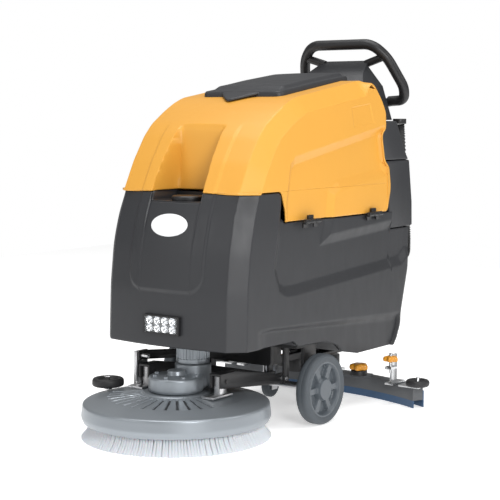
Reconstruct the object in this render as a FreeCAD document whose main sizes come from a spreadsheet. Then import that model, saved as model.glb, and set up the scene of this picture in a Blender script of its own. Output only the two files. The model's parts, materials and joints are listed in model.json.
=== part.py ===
"""Walk-behind wet dry floor scrubber, as a parametric document.

Frame: millimetres, +Z up, the machine travels towards -Y and +X is its left side.
The origin is on the floor, under the middle of the machine.
"""
import FreeCAD
import Part
import Sketcher
import math
import os
import re

V = FreeCAD.Vector

# ---------------------------------------------------------------- driving sizes
SIZES = {
    # brush deck
    "brush_y": -345.98, "brush_radius": 259, "bristle_length": 44, "block_thickness": 18,
    "cover_rim_inset": 5, "cover_wall": 4, "cover_rim_z": 93, "cover_top_z": 122,
    "cover_boss_radius": 88, "slot_width": 7, "gearbox_radius": 76, "gearbox_height": 43,
    "motor_radius": 46, "motor_height": 108, "motor_offset": 73, "shaft_radius": 12,
    "bumper_radius": 45, "bumper_height": 24, "bumper_inset": 23, "bumper_lift": 17,
    # running gear
    "wheel_radius": 100, "wheel_width": 42, "wheel_overhang": 22, "rim_radius": 78,
    "axle_radius": 10, "axle_setback": 87, "frame_half_width": 205,
    "caster_radius": 37, "caster_width": 24, "caster_x": 91, "caster_setback": 206,
    "caster_trail": 18, "caster_pin_radius": 5,
    # deck linkage
    "pivot_setback": 37, "pivot_rise": 28, "arm_y": 35, "arm_z": 158, "arm_x": 106,
    "arm_width": 38, "pin_radius": 6, "link_rise": 45, "link_back": 15,
    # shells
    "body_half_width": 240, "tank_half_width": 238, "column_half_width": 224,
    "tank_clearance": 52, "corner_chamfer": 40, "tank_wall": 8,
    "bay_half_width": 160, "bay_front": 205, "bay_rear": 575,
    "battery_width": 168, "battery_length": 306, "battery_height": 220,
    "vacuum_radius": 62, "vacuum_height": 150, "vacuum_y": 665,
    "lid_half_width": 139, "mouth_half_width": 105, "mouth_front": 330, "mouth_rear": 600,
    "tank_rear": 690, "column_step": 218,
    "scoop_half_width": 88, "cap_radius": 46, "cap_y": 56,
    "hinge_radius": 7, "hinge_pin_radius": 3, "hinge_length": 76,
    "hinge_front": 252, "hinge_rear": 584,
    # console and handle
    "neck_half_width": 125, "console_half_width": 78, "panel_tilt": 29,
    "handle_y": 934, "handle_rise": 633, "handle_length": 228, "handle_half_width": 176,
    "grip_radius": 16,
    # squeegee
    "squeegee_bend": 839, "squeegee_apex": 800, "squeegee_depth": 40, "squeegee_sweep": 52,
    "squeegee_height": 42, "blade_thickness": 4, "swing_y": 585, "spigot_radius": 22,
    "tilt_y": 645, "tilt_z": 95, "pedal_y": 700,
    "roller_radius": 35, "roller_x": 370, "roller_y": 672,
    # fits
    "running": 0.06, "gap": 0.5, "seam": 2,
}

doc = FreeCAD.newDocument("floor_scrubber")
sheet = doc.addObject("Spreadsheet::Sheet", "dims")
for row, (alias, value) in enumerate(SIZES.items(), start=1):
    sheet.set("A%d" % row, str(value))
    sheet.setAlias("A%d" % row, alias)
doc.recompute()
PARTS = []


# ---------------------------------------------------------------- helpers
def expression(text):
    """An expression in which every size's name points at its cell."""
    return re.sub(r"[a-z_]+", lambda word: "dims." + word[0] if word[0] in SIZES else word[0], str(text))


def number(text):
    """The value that an expression has now."""
    result = sheet.evalExpression(expression(text))
    return float(getattr(result, "Value", result))


def back(distance):
    """Y of a point that far behind the brush axis."""
    return "(brush_y + %s)" % distance


def up(distance):
    """Z of a point that far above the underside of the solution tank."""
    return "(2 * wheel_radius + tank_clearance + %s)" % distance


AXLE_Y = back("brush_radius + axle_setback")
PIVOT_Y = back("brush_radius + pivot_setback")
PIVOT_Z = "(wheel_radius + pivot_rise)"
CASTER_Y = back("brush_radius + axle_setback + caster_setback")
REAR_UNDERSIDE = up(-81)
TURNS = {"Z": (V(0, 0, 1), 0), "X": (V(0, 1, 0), 90), "Y": (V(1, 0, 0), -90)}


def place(item, x, y, z, turn=(V(0, 0, 1), 0)):
    """Bind an object's position to expressions."""
    item.Placement = FreeCAD.Placement(V(0, 0, 0), FreeCAD.Rotation(*turn))
    for letter, text in (("x", x), ("y", y), ("z", z)):
        item.setExpression("Placement.Base." + letter, expression(text))
    return item


def box(name, x, y, z):
    """A block between two limits along each axis."""
    item = doc.addObject("Part::Box", name)
    for side, limits in (("Length", x), ("Width", y), ("Height", z)):
        item.setExpression(side, expression("(%s) - (%s)" % (limits[1], limits[0])))
    return place(item, x[0], y[0], z[0])


def rod(name, radius, length, x, y, z, axis="Z"):
    """A cylinder that starts at a point and runs along an axis."""
    item = doc.addObject("Part::Cylinder", name)
    item.setExpression("Radius", expression(radius))
    item.setExpression("Height", expression(length))
    return place(item, x, y, z, TURNS[axis])


def outline(body, plane, points, name):
    """A closed, fully constrained sketch on one of the body's own planes."""
    sketch = body.newObject("Sketcher::SketchObject", name)
    support = [item for item in body.Origin.OriginFeatures if item.Role == plane + "_Plane"][0]
    sketch.AttachmentSupport = [(support, "")]
    sketch.MapMode = "FlatFace"
    corners = [(number(first), number(second)) for first, second in points]
    count = len(corners)
    for i in range(count):
        sketch.addGeometry(Part.LineSegment(V(*corners[i], 0), V(*corners[(i + 1) % count], 0)), False)
    for i in range(count):
        sketch.addConstraint(Sketcher.Constraint("Coincident", i, 2, (i + 1) % count, 1))
    for i, texts in enumerate(points):
        for kind, axis, text, value in (("DistanceX", -2, texts[0], corners[i][0]),
                                        ("DistanceY", -1, texts[1], corners[i][1])):
            if text == 0:
                sketch.addConstraint(Sketcher.Constraint("PointOnObject", i, 1, axis))
                continue
            index = sketch.addConstraint(Sketcher.Constraint(kind, -1, 1, i, 1, value))
            sketch.setExpression("Constraints[%d]" % index, expression(text))
    return sketch


def prism(name, plane, points, low, high):
    """An outline padded between two limits along its plane's own axis."""
    body = doc.addObject("PartDesign::Body", name)
    pad = body.newObject("PartDesign::Pad", name + "_pad")
    pad.Profile = outline(body, plane, points, name + "_outline")
    pad.Reversed = plane == "XZ"
    pad.setExpression("Length", expression("(%s) - (%s)" % (high, low)))
    start = {"YZ": (low, 0, 0), "XZ": (0, low, 0), "XY": (0, 0, low)}[plane]
    return place(body, *start)


def turned(name, points, x, y, z, axis="Z"):
    """A profile of radius and height revolved about its own axis."""
    body = doc.addObject("PartDesign::Body", name)
    spin = body.newObject("PartDesign::Revolution", name + "_turn")
    spin.Profile = outline(body, "XZ", points, name + "_profile")
    spin.ReferenceAxis = (spin.Profile[0], ["V_Axis"])
    spin.Angle = 360
    return place(body, x, y, z, TURNS[axis])


def fuse(name, *items):
    """Several shapes joined, or kept as a group where they are apart."""
    item = doc.addObject("Part::MultiFuse", name)
    item.Shapes = list(items)
    return item


def cut(name, base, *tools):
    """A shape with other shapes taken away."""
    item = doc.addObject("Part::Cut", name)
    item.Base = base
    item.Tool = tools[0] if len(tools) == 1 else fuse(name + "_tools", *tools)
    return item


def common(name, first, second):
    """What two shapes share."""
    item = doc.addObject("Part::Common", name)
    item.Base = first
    item.Tool = second
    return item


def part(name, item):
    """Name a finished sub-part."""
    item.Label = name
    PARTS.append((name, item))
    return item


def chamfered(body, plane_points, size):
    """Bevel the edges of a side-profile prism that run between the given outline points."""
    doc.recompute()
    spots = [(number(y), number(z)) for y, z in plane_points]
    names = []
    shape = body.Tip.Shape
    width = shape.BoundBox.XLength
    for i, edge in enumerate(shape.Edges, start=1):
        ends = [vertex.Point for vertex in edge.Vertexes]
        level = abs(ends[0].x - ends[1].x) < 1e-6
        known = all(any(abs(p.y - y) + abs(p.z - z) < 1e-3 for y, z in spots) for p in ends)
        if level and known and edge.Length < width * 2:
            names.append("Edge%d" % i)
    bevel = body.newObject("PartDesign::Chamfer", body.Name + "_bevel")
    bevel.Base = (body.getObject(body.Name + "_pad"), names)
    bevel.setExpression("Size", expression(size))
    body.Tip = bevel
    return body


def bent_tube(name, route, radius, bore=0):
    """A round tube along straight runs that are joined by tangent arcs."""
    points = [V(*(number(value) for value in point)) for point in route]
    edges = []
    start = points[0]
    for before, corner, after in zip(points, points[1:], points[2:]):
        first = (before - corner).normalize()
        second = (after - corner).normalize()
        reach = 0.45 * min((before - corner).Length, (after - corner).Length)
        arc_start = corner + first * reach
        arc_end = corner + second * reach
        half = first.getAngle(second) / 2
        middle = (first + second).normalize()
        bend = reach * math.tan(half)
        centre = corner + middle * (reach / math.cos(half))
        edges.append(Part.LineSegment(start, arc_start).toShape())
        edges.append(Part.Arc(arc_start, centre - middle * bend, arc_end).toShape())
        start = arc_end
    edges.append(Part.LineSegment(start, points[-1]).toShape())
    path = Part.Wire(edges)
    direction = points[1] - points[0]

    def solid(size):
        ring = Part.Wire(Part.Circle(points[0], direction, size).toShape())
        return path.makePipeShell([ring], True, False)

    shape = solid(number(radius))
    if bore:
        shape = shape.cut(solid(number(bore)))
    item = doc.addObject("Part::Feature", name)
    item.Shape = shape
    return item


def mirrored_sides():
    """The two sides of the machine: a name and a sign."""
    return (("left", 1), ("right", -1))


def span(sign, inner, outer):
    """X limits of a piece on one side, lowest first."""
    if sign > 0:
        return (inner, outer)
    return ("-(%s)" % outer, "-(%s)" % inner)


# ---------------------------------------------------------------- brush
def make_brush():
    top = "(bristle_length + block_thickness)"
    part("bristles", turned("bristles", [
        (125, 0), ("brush_radius", 0), ("brush_radius - 24", "bristle_length"),
        (120, "bristle_length")], 0, "brush_y", 0))
    part("brush_block", turned("brush_block", [
        (20, "bristle_length"), ("brush_radius - 22", "bristle_length"),
        ("brush_radius - 24", top), (20, top)], 0, "brush_y", 0))
    part("brush_hub", turned("brush_hub", [
        (0, "bristle_length"), (20, "bristle_length"), (20, top), (55, top), (55, top + " + 8"),
        ("shaft_radius", top + " + 12"), ("shaft_radius", "cover_top_z + 24"),
        (0, "cover_top_z + 24")], 0, "brush_y", 0))


# ---------------------------------------------------------------- deck
def make_deck():
    rim = "brush_radius - cover_rim_inset"
    knee = "(brush_radius - 69)"
    slot_end = "(brush_radius - 73)"
    cover = turned("deck_shell", [
        (40, "cover_top_z - 2 * cover_wall"), ("cover_boss_radius - 2", "cover_top_z - 2 * cover_wall"),
        (knee, "cover_rim_z + 10"), (rim + " - 8", "cover_rim_z - cover_wall"),
        (rim + " - 2", 62), (rim + " - 5", "bristle_length + 2"), (rim + " + 2", "bristle_length + 2"),
        (rim + " + 5", 62), (rim, "cover_rim_z"), (knee, "cover_rim_z + 15"),
        ("cover_boss_radius + 4", "cover_top_z - cover_wall"), ("cover_boss_radius", "cover_top_z"),
        (40, "cover_top_z")], 0, "brush_y", 0)
    slots = cover.newObject("PartDesign::Pocket", "deck_slot")
    sketch = outline(cover, "XY", [(98, "-slot_width / 2"), (slot_end, "-slot_width / 2"),
                                   (slot_end, "slot_width / 2"), (98, "slot_width / 2")], "slot_outline")
    sketch.AttachmentOffset = FreeCAD.Placement(V(0, 0, 0), FreeCAD.Rotation(V(0, 0, 1), -20))
    slots.Profile = sketch
    slots.Type = "ThroughAll"
    slots.Reversed = True
    doc.recompute()
    ring = cover.newObject("PartDesign::PolarPattern", "slot_ring")
    ring.Originals = [slots]
    ring.Axis = (sketch, ["N_Axis"])
    ring.Angle = 140
    ring.Reversed = True
    ring.Occurrences = 15
    cover.Tip = ring
    part("deck_cover", cover)

    base = "cover_top_z"
    top = "(cover_top_z + gearbox_height)"
    motor_y = back("motor_offset")
    main = turned("gear_case", [
        ("shaft_radius + running", base), ("gearbox_radius - 6", base), ("gearbox_radius", base + " + 6"),
        ("gearbox_radius", top), (25, top), (25, top + " + 15"), (0, top + " + 15"),
        (0, base + " + 26"), ("shaft_radius + running", base + " + 26")], 0, "brush_y", 0)
    tower = rod("gear_tower", "motor_radius + 4", "gearbox_height + 20", 0, motor_y, base + " + 6")
    part("gearbox_housing", fuse("gearbox_housing", main, tower))
    motor_z = "(cover_top_z + gearbox_height + 26)"
    part("brush_motor", turned("brush_motor", [
        (0, 0), ("motor_radius", 0), ("motor_radius", "motor_height - 8"),
        ("motor_radius - 6", "motor_height"), (0, "motor_height")], 0, motor_y, motor_z))

    brackets = []
    for side, sign in mirrored_sides():
        foot = box("foot_" + side, span(sign, "arm_x - 2", "arm_x + arm_width"),
                   (back("arm_y - 57"), back("arm_y + 29")), ("cover_top_z - 5", "cover_top_z + 1"))
        lug = box("lug_" + side, span(sign, "arm_x + 9", "arm_x + arm_width - 9"),
                  (back("arm_y - 16"), back("arm_y + 16")), ("cover_top_z - 2", "arm_z + 14"))
        bore = rod("lug_bore_" + side, "pin_radius + running", "2 * arm_width",
                   span(sign, "arm_x - 20", "arm_x + 2 * arm_width - 20")[0], back("arm_y"), "arm_z", "X")
        brackets.append(cut("deck_bracket_" + side, fuse("lug_foot_" + side, foot, lug), bore))
    mast = box("mast_plate", ("-arm_x - arm_width - 12", "-arm_x - arm_width - 4"),
               (back("arm_y - link_back - 16"), back("arm_y + 20")),
               ("cover_top_z - 5", "arm_z + link_rise + 12"))
    mast_foot = box("mast_foot", ("-arm_x - arm_width - 12", "-arm_x - arm_width - 0.5"),
                    (back("arm_y - 57"), back("arm_y + 29")), ("cover_top_z - 5", "cover_top_z + 1"))
    stud = rod("mast_stud", "pin_radius", 34, "-arm_x - arm_width - 4.5", back("arm_y - link_back"),
               "arm_z + link_rise", "X")
    part("deck_brackets", fuse("deck_brackets", mast, mast_foot, stud, *brackets))

    spoke = "(brush_radius - bumper_inset)"
    seat = "(cover_rim_z + bumper_lift)"
    collar = rod("bumper_collar", 12, 7, "-" + spoke, back(-14), seat + " - 8")
    stem = rod("bumper_stem", "pin_radius", "bumper_height + 6", "-" + spoke, back(-14), seat + " - 3")
    head = rod("bumper_head", 11, 5, "-" + spoke, back(-14), seat + " + bumper_height + 1")
    part("bumper_pin", fuse("bumper_pin", collar, stem, head))
    part("bumper_roller", turned("bumper_roller", [
        ("pin_radius + running", 0), ("bumper_radius - 4", 0), ("bumper_radius", 4),
        ("bumper_radius", "bumper_height - 4"), ("bumper_radius - 4", "bumper_height"),
        ("pin_radius + running", "bumper_height")], "-" + spoke, back(-14), seat))


# ---------------------------------------------------------------- deck linkage
def make_linkage():
    arms = []
    for side, sign in mirrored_sides():
        outer = prism("arm_blank_" + side, "YZ", [
            (back("arm_y - 24"), "arm_z - 16"), (back("arm_y + 40"), "arm_z - 22"),
            (PIVOT_Y + " - 30", PIVOT_Z + " - 14"), (PIVOT_Y + " + 14", PIVOT_Z + " - 14"),
            (PIVOT_Y + " + 14", PIVOT_Z + " + 14"), (PIVOT_Y + " - 30", PIVOT_Z + " + 16"),
            (back("arm_y + 40"), "arm_z + 22"), (back("arm_y - 24"), "arm_z + 22")],
            *span(sign, "arm_x", "arm_x + arm_width"))
        channel = box("arm_channel_" + side, span(sign, "arm_x + 6", "arm_x + arm_width - 6"),
                      (back("arm_y - 40"), PIVOT_Y + " + 20"), (PIVOT_Z + " - 60", "arm_z + 16"))
        web = box("arm_web_" + side, span(sign, "arm_x", "arm_x + arm_width"),
                  (back("arm_y + 80"), back("arm_y + 86")), ("arm_z - 24", "arm_z + 12"))
        start = span(sign, "arm_x - 4", "arm_x + arm_width + 4")[0]
        pivot = rod("arm_pivot_" + side, "pin_radius", "arm_width + 8", start, back("arm_y"), "arm_z", "X")
        hole = rod("arm_hole_" + side, "pin_radius + running", "2 * arm_width",
                   span(sign, "arm_x - 20", "arm_x + 2 * arm_width - 20")[0], PIVOT_Y, PIVOT_Z, "X")
        blank = cut("arm_cut_" + side, outer, channel, hole)
        clipped = common("arm_web_in_" + side, web, outer)
        arms += [blank, clipped, pivot]
    tie = box("arm_tie", ("-arm_x", "arm_x"), (back("brush_radius + 11"), back("brush_radius + 19")),
              (PIVOT_Z + " - 6", PIVOT_Z + " + 14"))
    part("lift_arms", fuse("lift_arms", tie, *arms))
    link_x = ("-arm_x - arm_width - 2", "-arm_x - arm_width + 6")
    eye_y = back("arm_y - link_back")
    eye_z = "arm_z + link_rise"
    root_y = PIVOT_Y + " - link_back"
    root_z = PIVOT_Z + " + link_rise"
    blank = prism("link_blank", "YZ", [
        (eye_y + " - 13", eye_z + " - 12"), (eye_y + " + 13", eye_z + " - 13"),
        (root_y + " + 13", root_z + " - 13"), (root_y + " + 13", root_z + " + 13"),
        (eye_y + " + 13", eye_z + " + 13"), (eye_y + " - 13", eye_z + " + 12")], *link_x)
    holes = [rod("link_hole_%d" % i, "pin_radius + gap", 40, "-arm_x - arm_width - 20", y, z, "X")
             for i, (y, z) in enumerate(((eye_y, eye_z), (root_y, root_z)))]
    part("upper_link", cut("upper_link", blank, *holes))


# ---------------------------------------------------------------- chassis
def make_chassis():
    plate_top = up(-24)
    pieces = [box("axle_plate", ("-frame_half_width", "frame_half_width"),
                  (AXLE_Y + " - 66", AXLE_Y + " + 36"), (up(-34), plate_top))]
    holes = []
    pins = []
    for side, sign in mirrored_sides():
        pieces.append(box("axle_ear_" + side, span(sign, "frame_half_width - 10", "frame_half_width"),
                          (AXLE_Y + " - 30", AXLE_Y + " + 30"), ("wheel_radius - 20", up(-34))))
        pieces.append(box("rail_" + side, span(sign, 58, 78),
                          (AXLE_Y + " - 20", CASTER_Y + " + 60"), (REAR_UNDERSIDE + " - 21",
                              REAR_UNDERSIDE + " - 3")))
        pieces.append(box("rail_riser_" + side, span(sign, 58, 78),
                          (AXLE_Y + " - 20", AXLE_Y + " + 40"), (REAR_UNDERSIDE + " - 21", up(-34))))
        for place_name, low, high in (("in", "arm_x - 6", "arm_x - 0.5"),
                                      ("out", "arm_x + arm_width + 9", "arm_x + arm_width + 15")):
            pieces.append(box("pivot_ear_%s_%s" % (side, place_name), span(sign, low, high),
                              (PIVOT_Y + " - 12", PIVOT_Y + " + 12"), (PIVOT_Z + " - 14", up(-34))))
        holes.append(rod("pivot_hole_" + side, "pin_radius", "2 * arm_width",
                         span(sign, "arm_x - 20", "arm_x + 2 * arm_width - 20")[0], PIVOT_Y, PIVOT_Z, "X"))
        pins.append(rod("pivot_pin_" + side, "pin_radius", "arm_width + 24",
                        span(sign, "arm_x - 7", "arm_x + arm_width + 17")[0], PIVOT_Y, PIVOT_Z, "X"))
    pieces.append(box("caster_plate", ("-140", "140"), (CASTER_Y + " - 44", CASTER_Y + " + 60"),
                      (REAR_UNDERSIDE + " - 9", REAR_UNDERSIDE + " - 3")))
    holes.append(rod("axle_hole", "axle_radius", "2 * frame_half_width + 20", "-frame_half_width - 10",
                     AXLE_Y, "wheel_radius", "X"))
    spigot = turned("suction_spigot", [
        (18, -60), ("spigot_radius", -60), ("spigot_radius", -9), (40, -9), (40, -3), (18, -3)],
        0, back("swing_y"), REAR_UNDERSIDE)
    pieces.append(spigot)
    holes.append(rod("spigot_hole", 18, 80, 0, back("swing_y"), REAR_UNDERSIDE + " - 70"))
    pieces.append(box("pedal_ear", (94, 102), (CASTER_Y + " + 40", back("pedal_y + 12")),
                      (REAR_UNDERSIDE + " - 26", REAR_UNDERSIDE + " - 3")))
    pieces.append(rod("pedal_pin", "pin_radius", 28, 98, back("pedal_y"), REAR_UNDERSIDE + " - 14", "X"))
    for side, sign in mirrored_sides():
        holes.append(rod("caster_hole_" + side, "9 + running", 60, "%d * caster_x" % sign, CASTER_Y,
                         REAR_UNDERSIDE + " - 40"))
    stud_y = PIVOT_Y + " - link_back"
    stud_z = PIVOT_Z + " + link_rise"
    ear = box("link_ear", ("-arm_x - arm_width - 18", "-arm_x - arm_width - 10"),
              (stud_y + " - 12", stud_y + " + 12"), (stud_z + " - 12", up(-34)))
    stud = rod("link_stud", "pin_radius", 20, "-arm_x - arm_width - 12", stud_y, stud_z, "X")
    pieces += [ear, stud]
    part("chassis_frame", cut("chassis_frame", fuse("frame_steel", *pieces), *holes))
    half = "(body_half_width + wheel_overhang)"
    shaft = rod("axle_shaft", "axle_radius", "2 * %s - 8" % half, "4 - " + half, AXLE_Y, "wheel_radius",
                "X")
    part("axle_and_pins", fuse("axle_and_pins", shaft, *pins))


def make_pedal():
    z = REAR_UNDERSIDE + " - 14"
    bar = box("pedal_bar", (103, 119), (back("pedal_y"), back("pedal_y + 190")), (z + " - 6", z + " + 4"))
    hub = rod("pedal_hub", 11, 20, 102.6, back("pedal_y"), z, "X")
    pad = box("pedal_pad", (92, 136), (back("pedal_y + 178"), back("pedal_y + 212")),
              (z + " - 7", z + " + 7"))
    bore = rod("pedal_bore", "pin_radius + running", 60, 90, back("pedal_y"), z, "X")
    part("foot_pedal", cut("foot_pedal", fuse("pedal_blank", bar, hub, pad), bore))


def make_wheels():
    half = "(body_half_width + wheel_overhang)"
    for side, sign in mirrored_sides():
        x = span(sign, half + " - wheel_width", half)[0]
        shoulder = "rim_radius"
        part("tyre_" + side, turned("tyre_" + side, [
            (shoulder, 4), ("wheel_radius - 5", 0), ("wheel_radius", 7),
            ("wheel_radius", "wheel_width - 7"),
            ("wheel_radius - 5", "wheel_width"),
            (shoulder, "wheel_width - 4")], x, AXLE_Y, "wheel_radius", "X"))
        disc = turned("rim_disc_" + side, [
            ("axle_radius + running", 0), (28, 0), (28, 14), ("rim_radius - 8", 14), ("rim_radius - 8", 4),
            ("rim_radius", 4), ("rim_radius", "wheel_width - 4"), ("rim_radius - 8", "wheel_width - 4"),
            ("rim_radius - 8", "wheel_width - 14"), (28, "wheel_width - 14"), (28, "wheel_width"),
            ("axle_radius + running", "wheel_width")], x, AXLE_Y, "wheel_radius", "X")
        cap = rod("hub_cap_" + side, 26, 5, span(sign, half + " - 1", half + " + 4")[0], AXLE_Y,
                  "wheel_radius", "X")
        part("wheel_rim_" + side, fuse("wheel_rim_" + side, disc, cap))
        make_caster(side, sign)


def make_caster(side, sign):
    x = "(%d * caster_x)" % sign
    wheel_y = "(%s + caster_trail)" % CASTER_Y
    stem = rod("stem_" + side, 9, 24, x, CASTER_Y, REAR_UNDERSIDE + " - 26")
    crown = box("crown_" + side, (x + " - caster_width / 2 - 6", x + " + caster_width / 2 + 6"),
                (CASTER_Y + " - 22", wheel_y + " + 14"),
                (REAR_UNDERSIDE + " - 28", REAR_UNDERSIDE + " - 22"))
    ears = [box("cheek_%s_%d" % (side, i), (x + " + %s" % low, x + " + %s" % high),
                (wheel_y + " - 14", wheel_y + " + 14"), ("caster_radius - 12", REAR_UNDERSIDE + " - 24"))
            for i, (low, high) in enumerate((("(-caster_width / 2 - 6)", "(-caster_width / 2 - 2)"),
                                             ("(caster_width / 2 + 2)", "(caster_width / 2 + 6)")))]
    part("caster_fork_" + side, fuse("caster_fork_" + side, stem, crown, *ears,
                                     rod("caster_axle_" + side, "caster_pin_radius", "caster_width + 12",
                                         x + " - caster_width / 2 - 6", wheel_y, "caster_radius", "X")))
    part("caster_wheel_" + side, turned("caster_wheel_" + side, [
        ("caster_pin_radius + running", 0), ("caster_radius - 6", 0), ("caster_radius", 5),
        ("caster_radius", "caster_width - 5"), ("caster_radius - 6", "caster_width"),
        ("caster_pin_radius + running",
         "caster_width")], x + " - caster_width / 2", wheel_y, "caster_radius", "X"))


# ---------------------------------------------------------------- shells
FRONT = [(27, 410), (0, 345), (-16, 287), (-23, 257), (-36, 150), (-42, 0)]
COWL = [(18, 412), (58, 494), (104, 558), (140, 593), (187, 626), (235, 648), (278, 663), (616, 717),
        (645, 704), (685, 663)]


def side_points(pairs):
    """Outline points given as distances behind the brush axis and above the tank's underside."""
    return [(back(y), up(z)) for y, z in pairs]


def make_solution_tank():
    rear = [(-42, 0), (228, -2), (253, -20), (384, -22), (447, -41), (480, -66), (557, -81), (780, -81),
            (795, -72), (822, -21), (823, 12), (864, 147), (872, 271), (744, 271), (742, 326),
            (187, 326), (160, 405)]
    shell = prism("tub_shell", "YZ", side_points(rear + FRONT[:-1]), "-body_half_width", "body_half_width")
    chamfered(shell, side_points(FRONT), "corner_chamfer")
    bay = box("battery_bay", ("-bay_half_width", "bay_half_width"), (back("bay_front"), back("bay_rear")),
              (up(12), up(340)))
    well = box("vacuum_well", ("-vacuum_radius - 18", "vacuum_radius + 18"),
               (back("vacuum_y - vacuum_radius - 8"),
                back("vacuum_y + vacuum_radius + 8")), (up(30), up(340)))
    recess = box("motor_recess", ("-motor_radius - 34", "motor_radius + 34"),
                 (back("motor_offset - motor_radius - 22"),
                  back("motor_offset + motor_radius + 42")), (up(-10), up(98)))
    water = prism("water_space", "YZ", side_points([
        (-20, 110), (193, 110), (193, 318), (176, 318), (163, 372), (24, 372), (8, 345),
        (-6, 287), (-12, 257), (-22, 150)]),
        "-body_half_width + 46", "body_half_width - 46")
    slot = box("filler_recess", ("-scoop_half_width", "scoop_half_width"), (back(-30), back(118)),
               (up(384), up(430)))
    hole = rod("filler_hole", 32, 60, 0, back("cap_y"), up(340))
    bulge = prism("front_panel", "YZ", side_points([
        (30, 2), (30, 408), (14, 408), (-12, 345), (-28, 287), (-35, 257), (-48, 150),
        (-54, 2)]), -127, 127)
    part("solution_tank", cut("solution_tank", fuse("tub_blank", shell, bulge), bay, well, recess, water,
                              slot, hole))

    cap_z = up(384.4)
    disc = turned("cap_disc", [(0, 0), ("cap_radius", 0), ("cap_radius", 12), ("cap_radius - 3", 15),
                               (0, 15)],
                  0, back("cap_y"), cap_z)
    arm = box("cap_arm", (-14, 14), (back("cap_y + cap_radius - 6"), back("cap_y + cap_radius + 1")),
              (up(390), up(397)))
    part("filler_cap", fuse("filler_cap", disc, arm))
    gap_front = "(bay_rear - bay_front - 2 * battery_width) / 3"
    for i in range(2):
        start = back("(bay_front + %s * (%d) + battery_width * %d)" % (gap_front, i + 1, i))
        body = box("battery_case_%d" % (i + 1), ("-battery_length / 2", "battery_length / 2"),
                   (start, start + " + battery_width"), (up(12), up("(12 + battery_height)")))
        posts = [rod("battery_post_%d_%d" % (i, j), 8, 14, x, start + " + 30", up("(12 + battery_height)"))
                 for j, x in enumerate((-120, 120))]
        part("battery_%d" % (i + 1), fuse("battery_%d" % (i + 1), body, *posts))
    part("vacuum_motor", turned("vacuum_motor", [
        (0, 0), ("vacuum_radius - 10", 0), ("vacuum_radius", 20), ("vacuum_radius", "vacuum_height / 2"),
        (40, "vacuum_height / 2 + 8"), (40, "vacuum_height"),
        (0, "vacuum_height")], 0, back("vacuum_y"), up(30)))

    bezel = prism("lamp_bezel", "YZ", side_points([(-67, 34), (-53, 34), (-51, 84), (-65, 84)]), -62, 62)
    pocket = box("lamp_pocket", (-55, 55), (back(-70), back(-57)), (up(38), up(80)))
    part("headlight_housing", cut("headlight_housing", bezel, pocket))
    part("headlight_lens", box("headlight_lens", (-54.5, 54.5), (back(-66), back(-64)),
                               (up(38.5), up(79.5))))
    cups = [rod("cup_%d_%d" % (line, column), 8, 5, 26 * column - 39, back(-63.5), up(49 + 21 * line), "Y")
            for line in range(2) for column in range(4)]
    board = box("lamp_board", (-54, 54), (back(-59.5), back(-57.5)), (up(39), up(79)))
    part("headlight_reflectors", fuse("headlight_reflectors", board, *cups))

    oval = doc.addObject("Part::Ellipse", "badge_outline")
    oval.MajorRadius = 62
    oval.MinorRadius = 31
    place(oval, 0, back(-18.6), up(324), (V(1, 0, 0), 75))
    badge = doc.addObject("Part::Extrusion", "badge_plate")
    badge.Base = oval
    badge.DirMode = "Custom"
    badge.Dir = V(0, -0.966, 0.259)
    badge.LengthFwd = 3
    badge.Solid = True
    part("badge_plate", badge)


def make_column():
    low = [(746, 273), (873, 273), (905, 280), (903, 350), (884, 478), (711, 478), (732, 464), (741, 397),
           (746, 350)]
    shell = prism("column_shell", "YZ", side_points(low), "-column_half_width", "column_half_width")
    chamfered(shell, side_points([(905, 280), (903, 350), (884, 478)]), "corner_chamfer / 2")
    fill = box("column_fill", ("-column_half_width", "column_step - seam"),
               (back("tank_rear + seam"), back(750)),
               (up(328), up(478)))
    part("rear_column_cover", fuse("rear_column_cover", shell, fill))
    high = [(711, 480), (884, 480), (852, 517), (808, 597), (718, 597), (718, 568), (695, 554)]
    riser = prism("riser_shell", "YZ", side_points(high), "-column_half_width", "column_half_width")
    chamfered(riser, side_points([(884, 480), (852, 517), (808, 597)]), "corner_chamfer / 2")
    ledge = box("riser_fill", ("-column_half_width", "column_step - seam"),
                (back("tank_rear + seam"), back(722)),
                (up(480), up(597)))
    part("column_riser", fuse("column_riser", riser, ledge))


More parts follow.
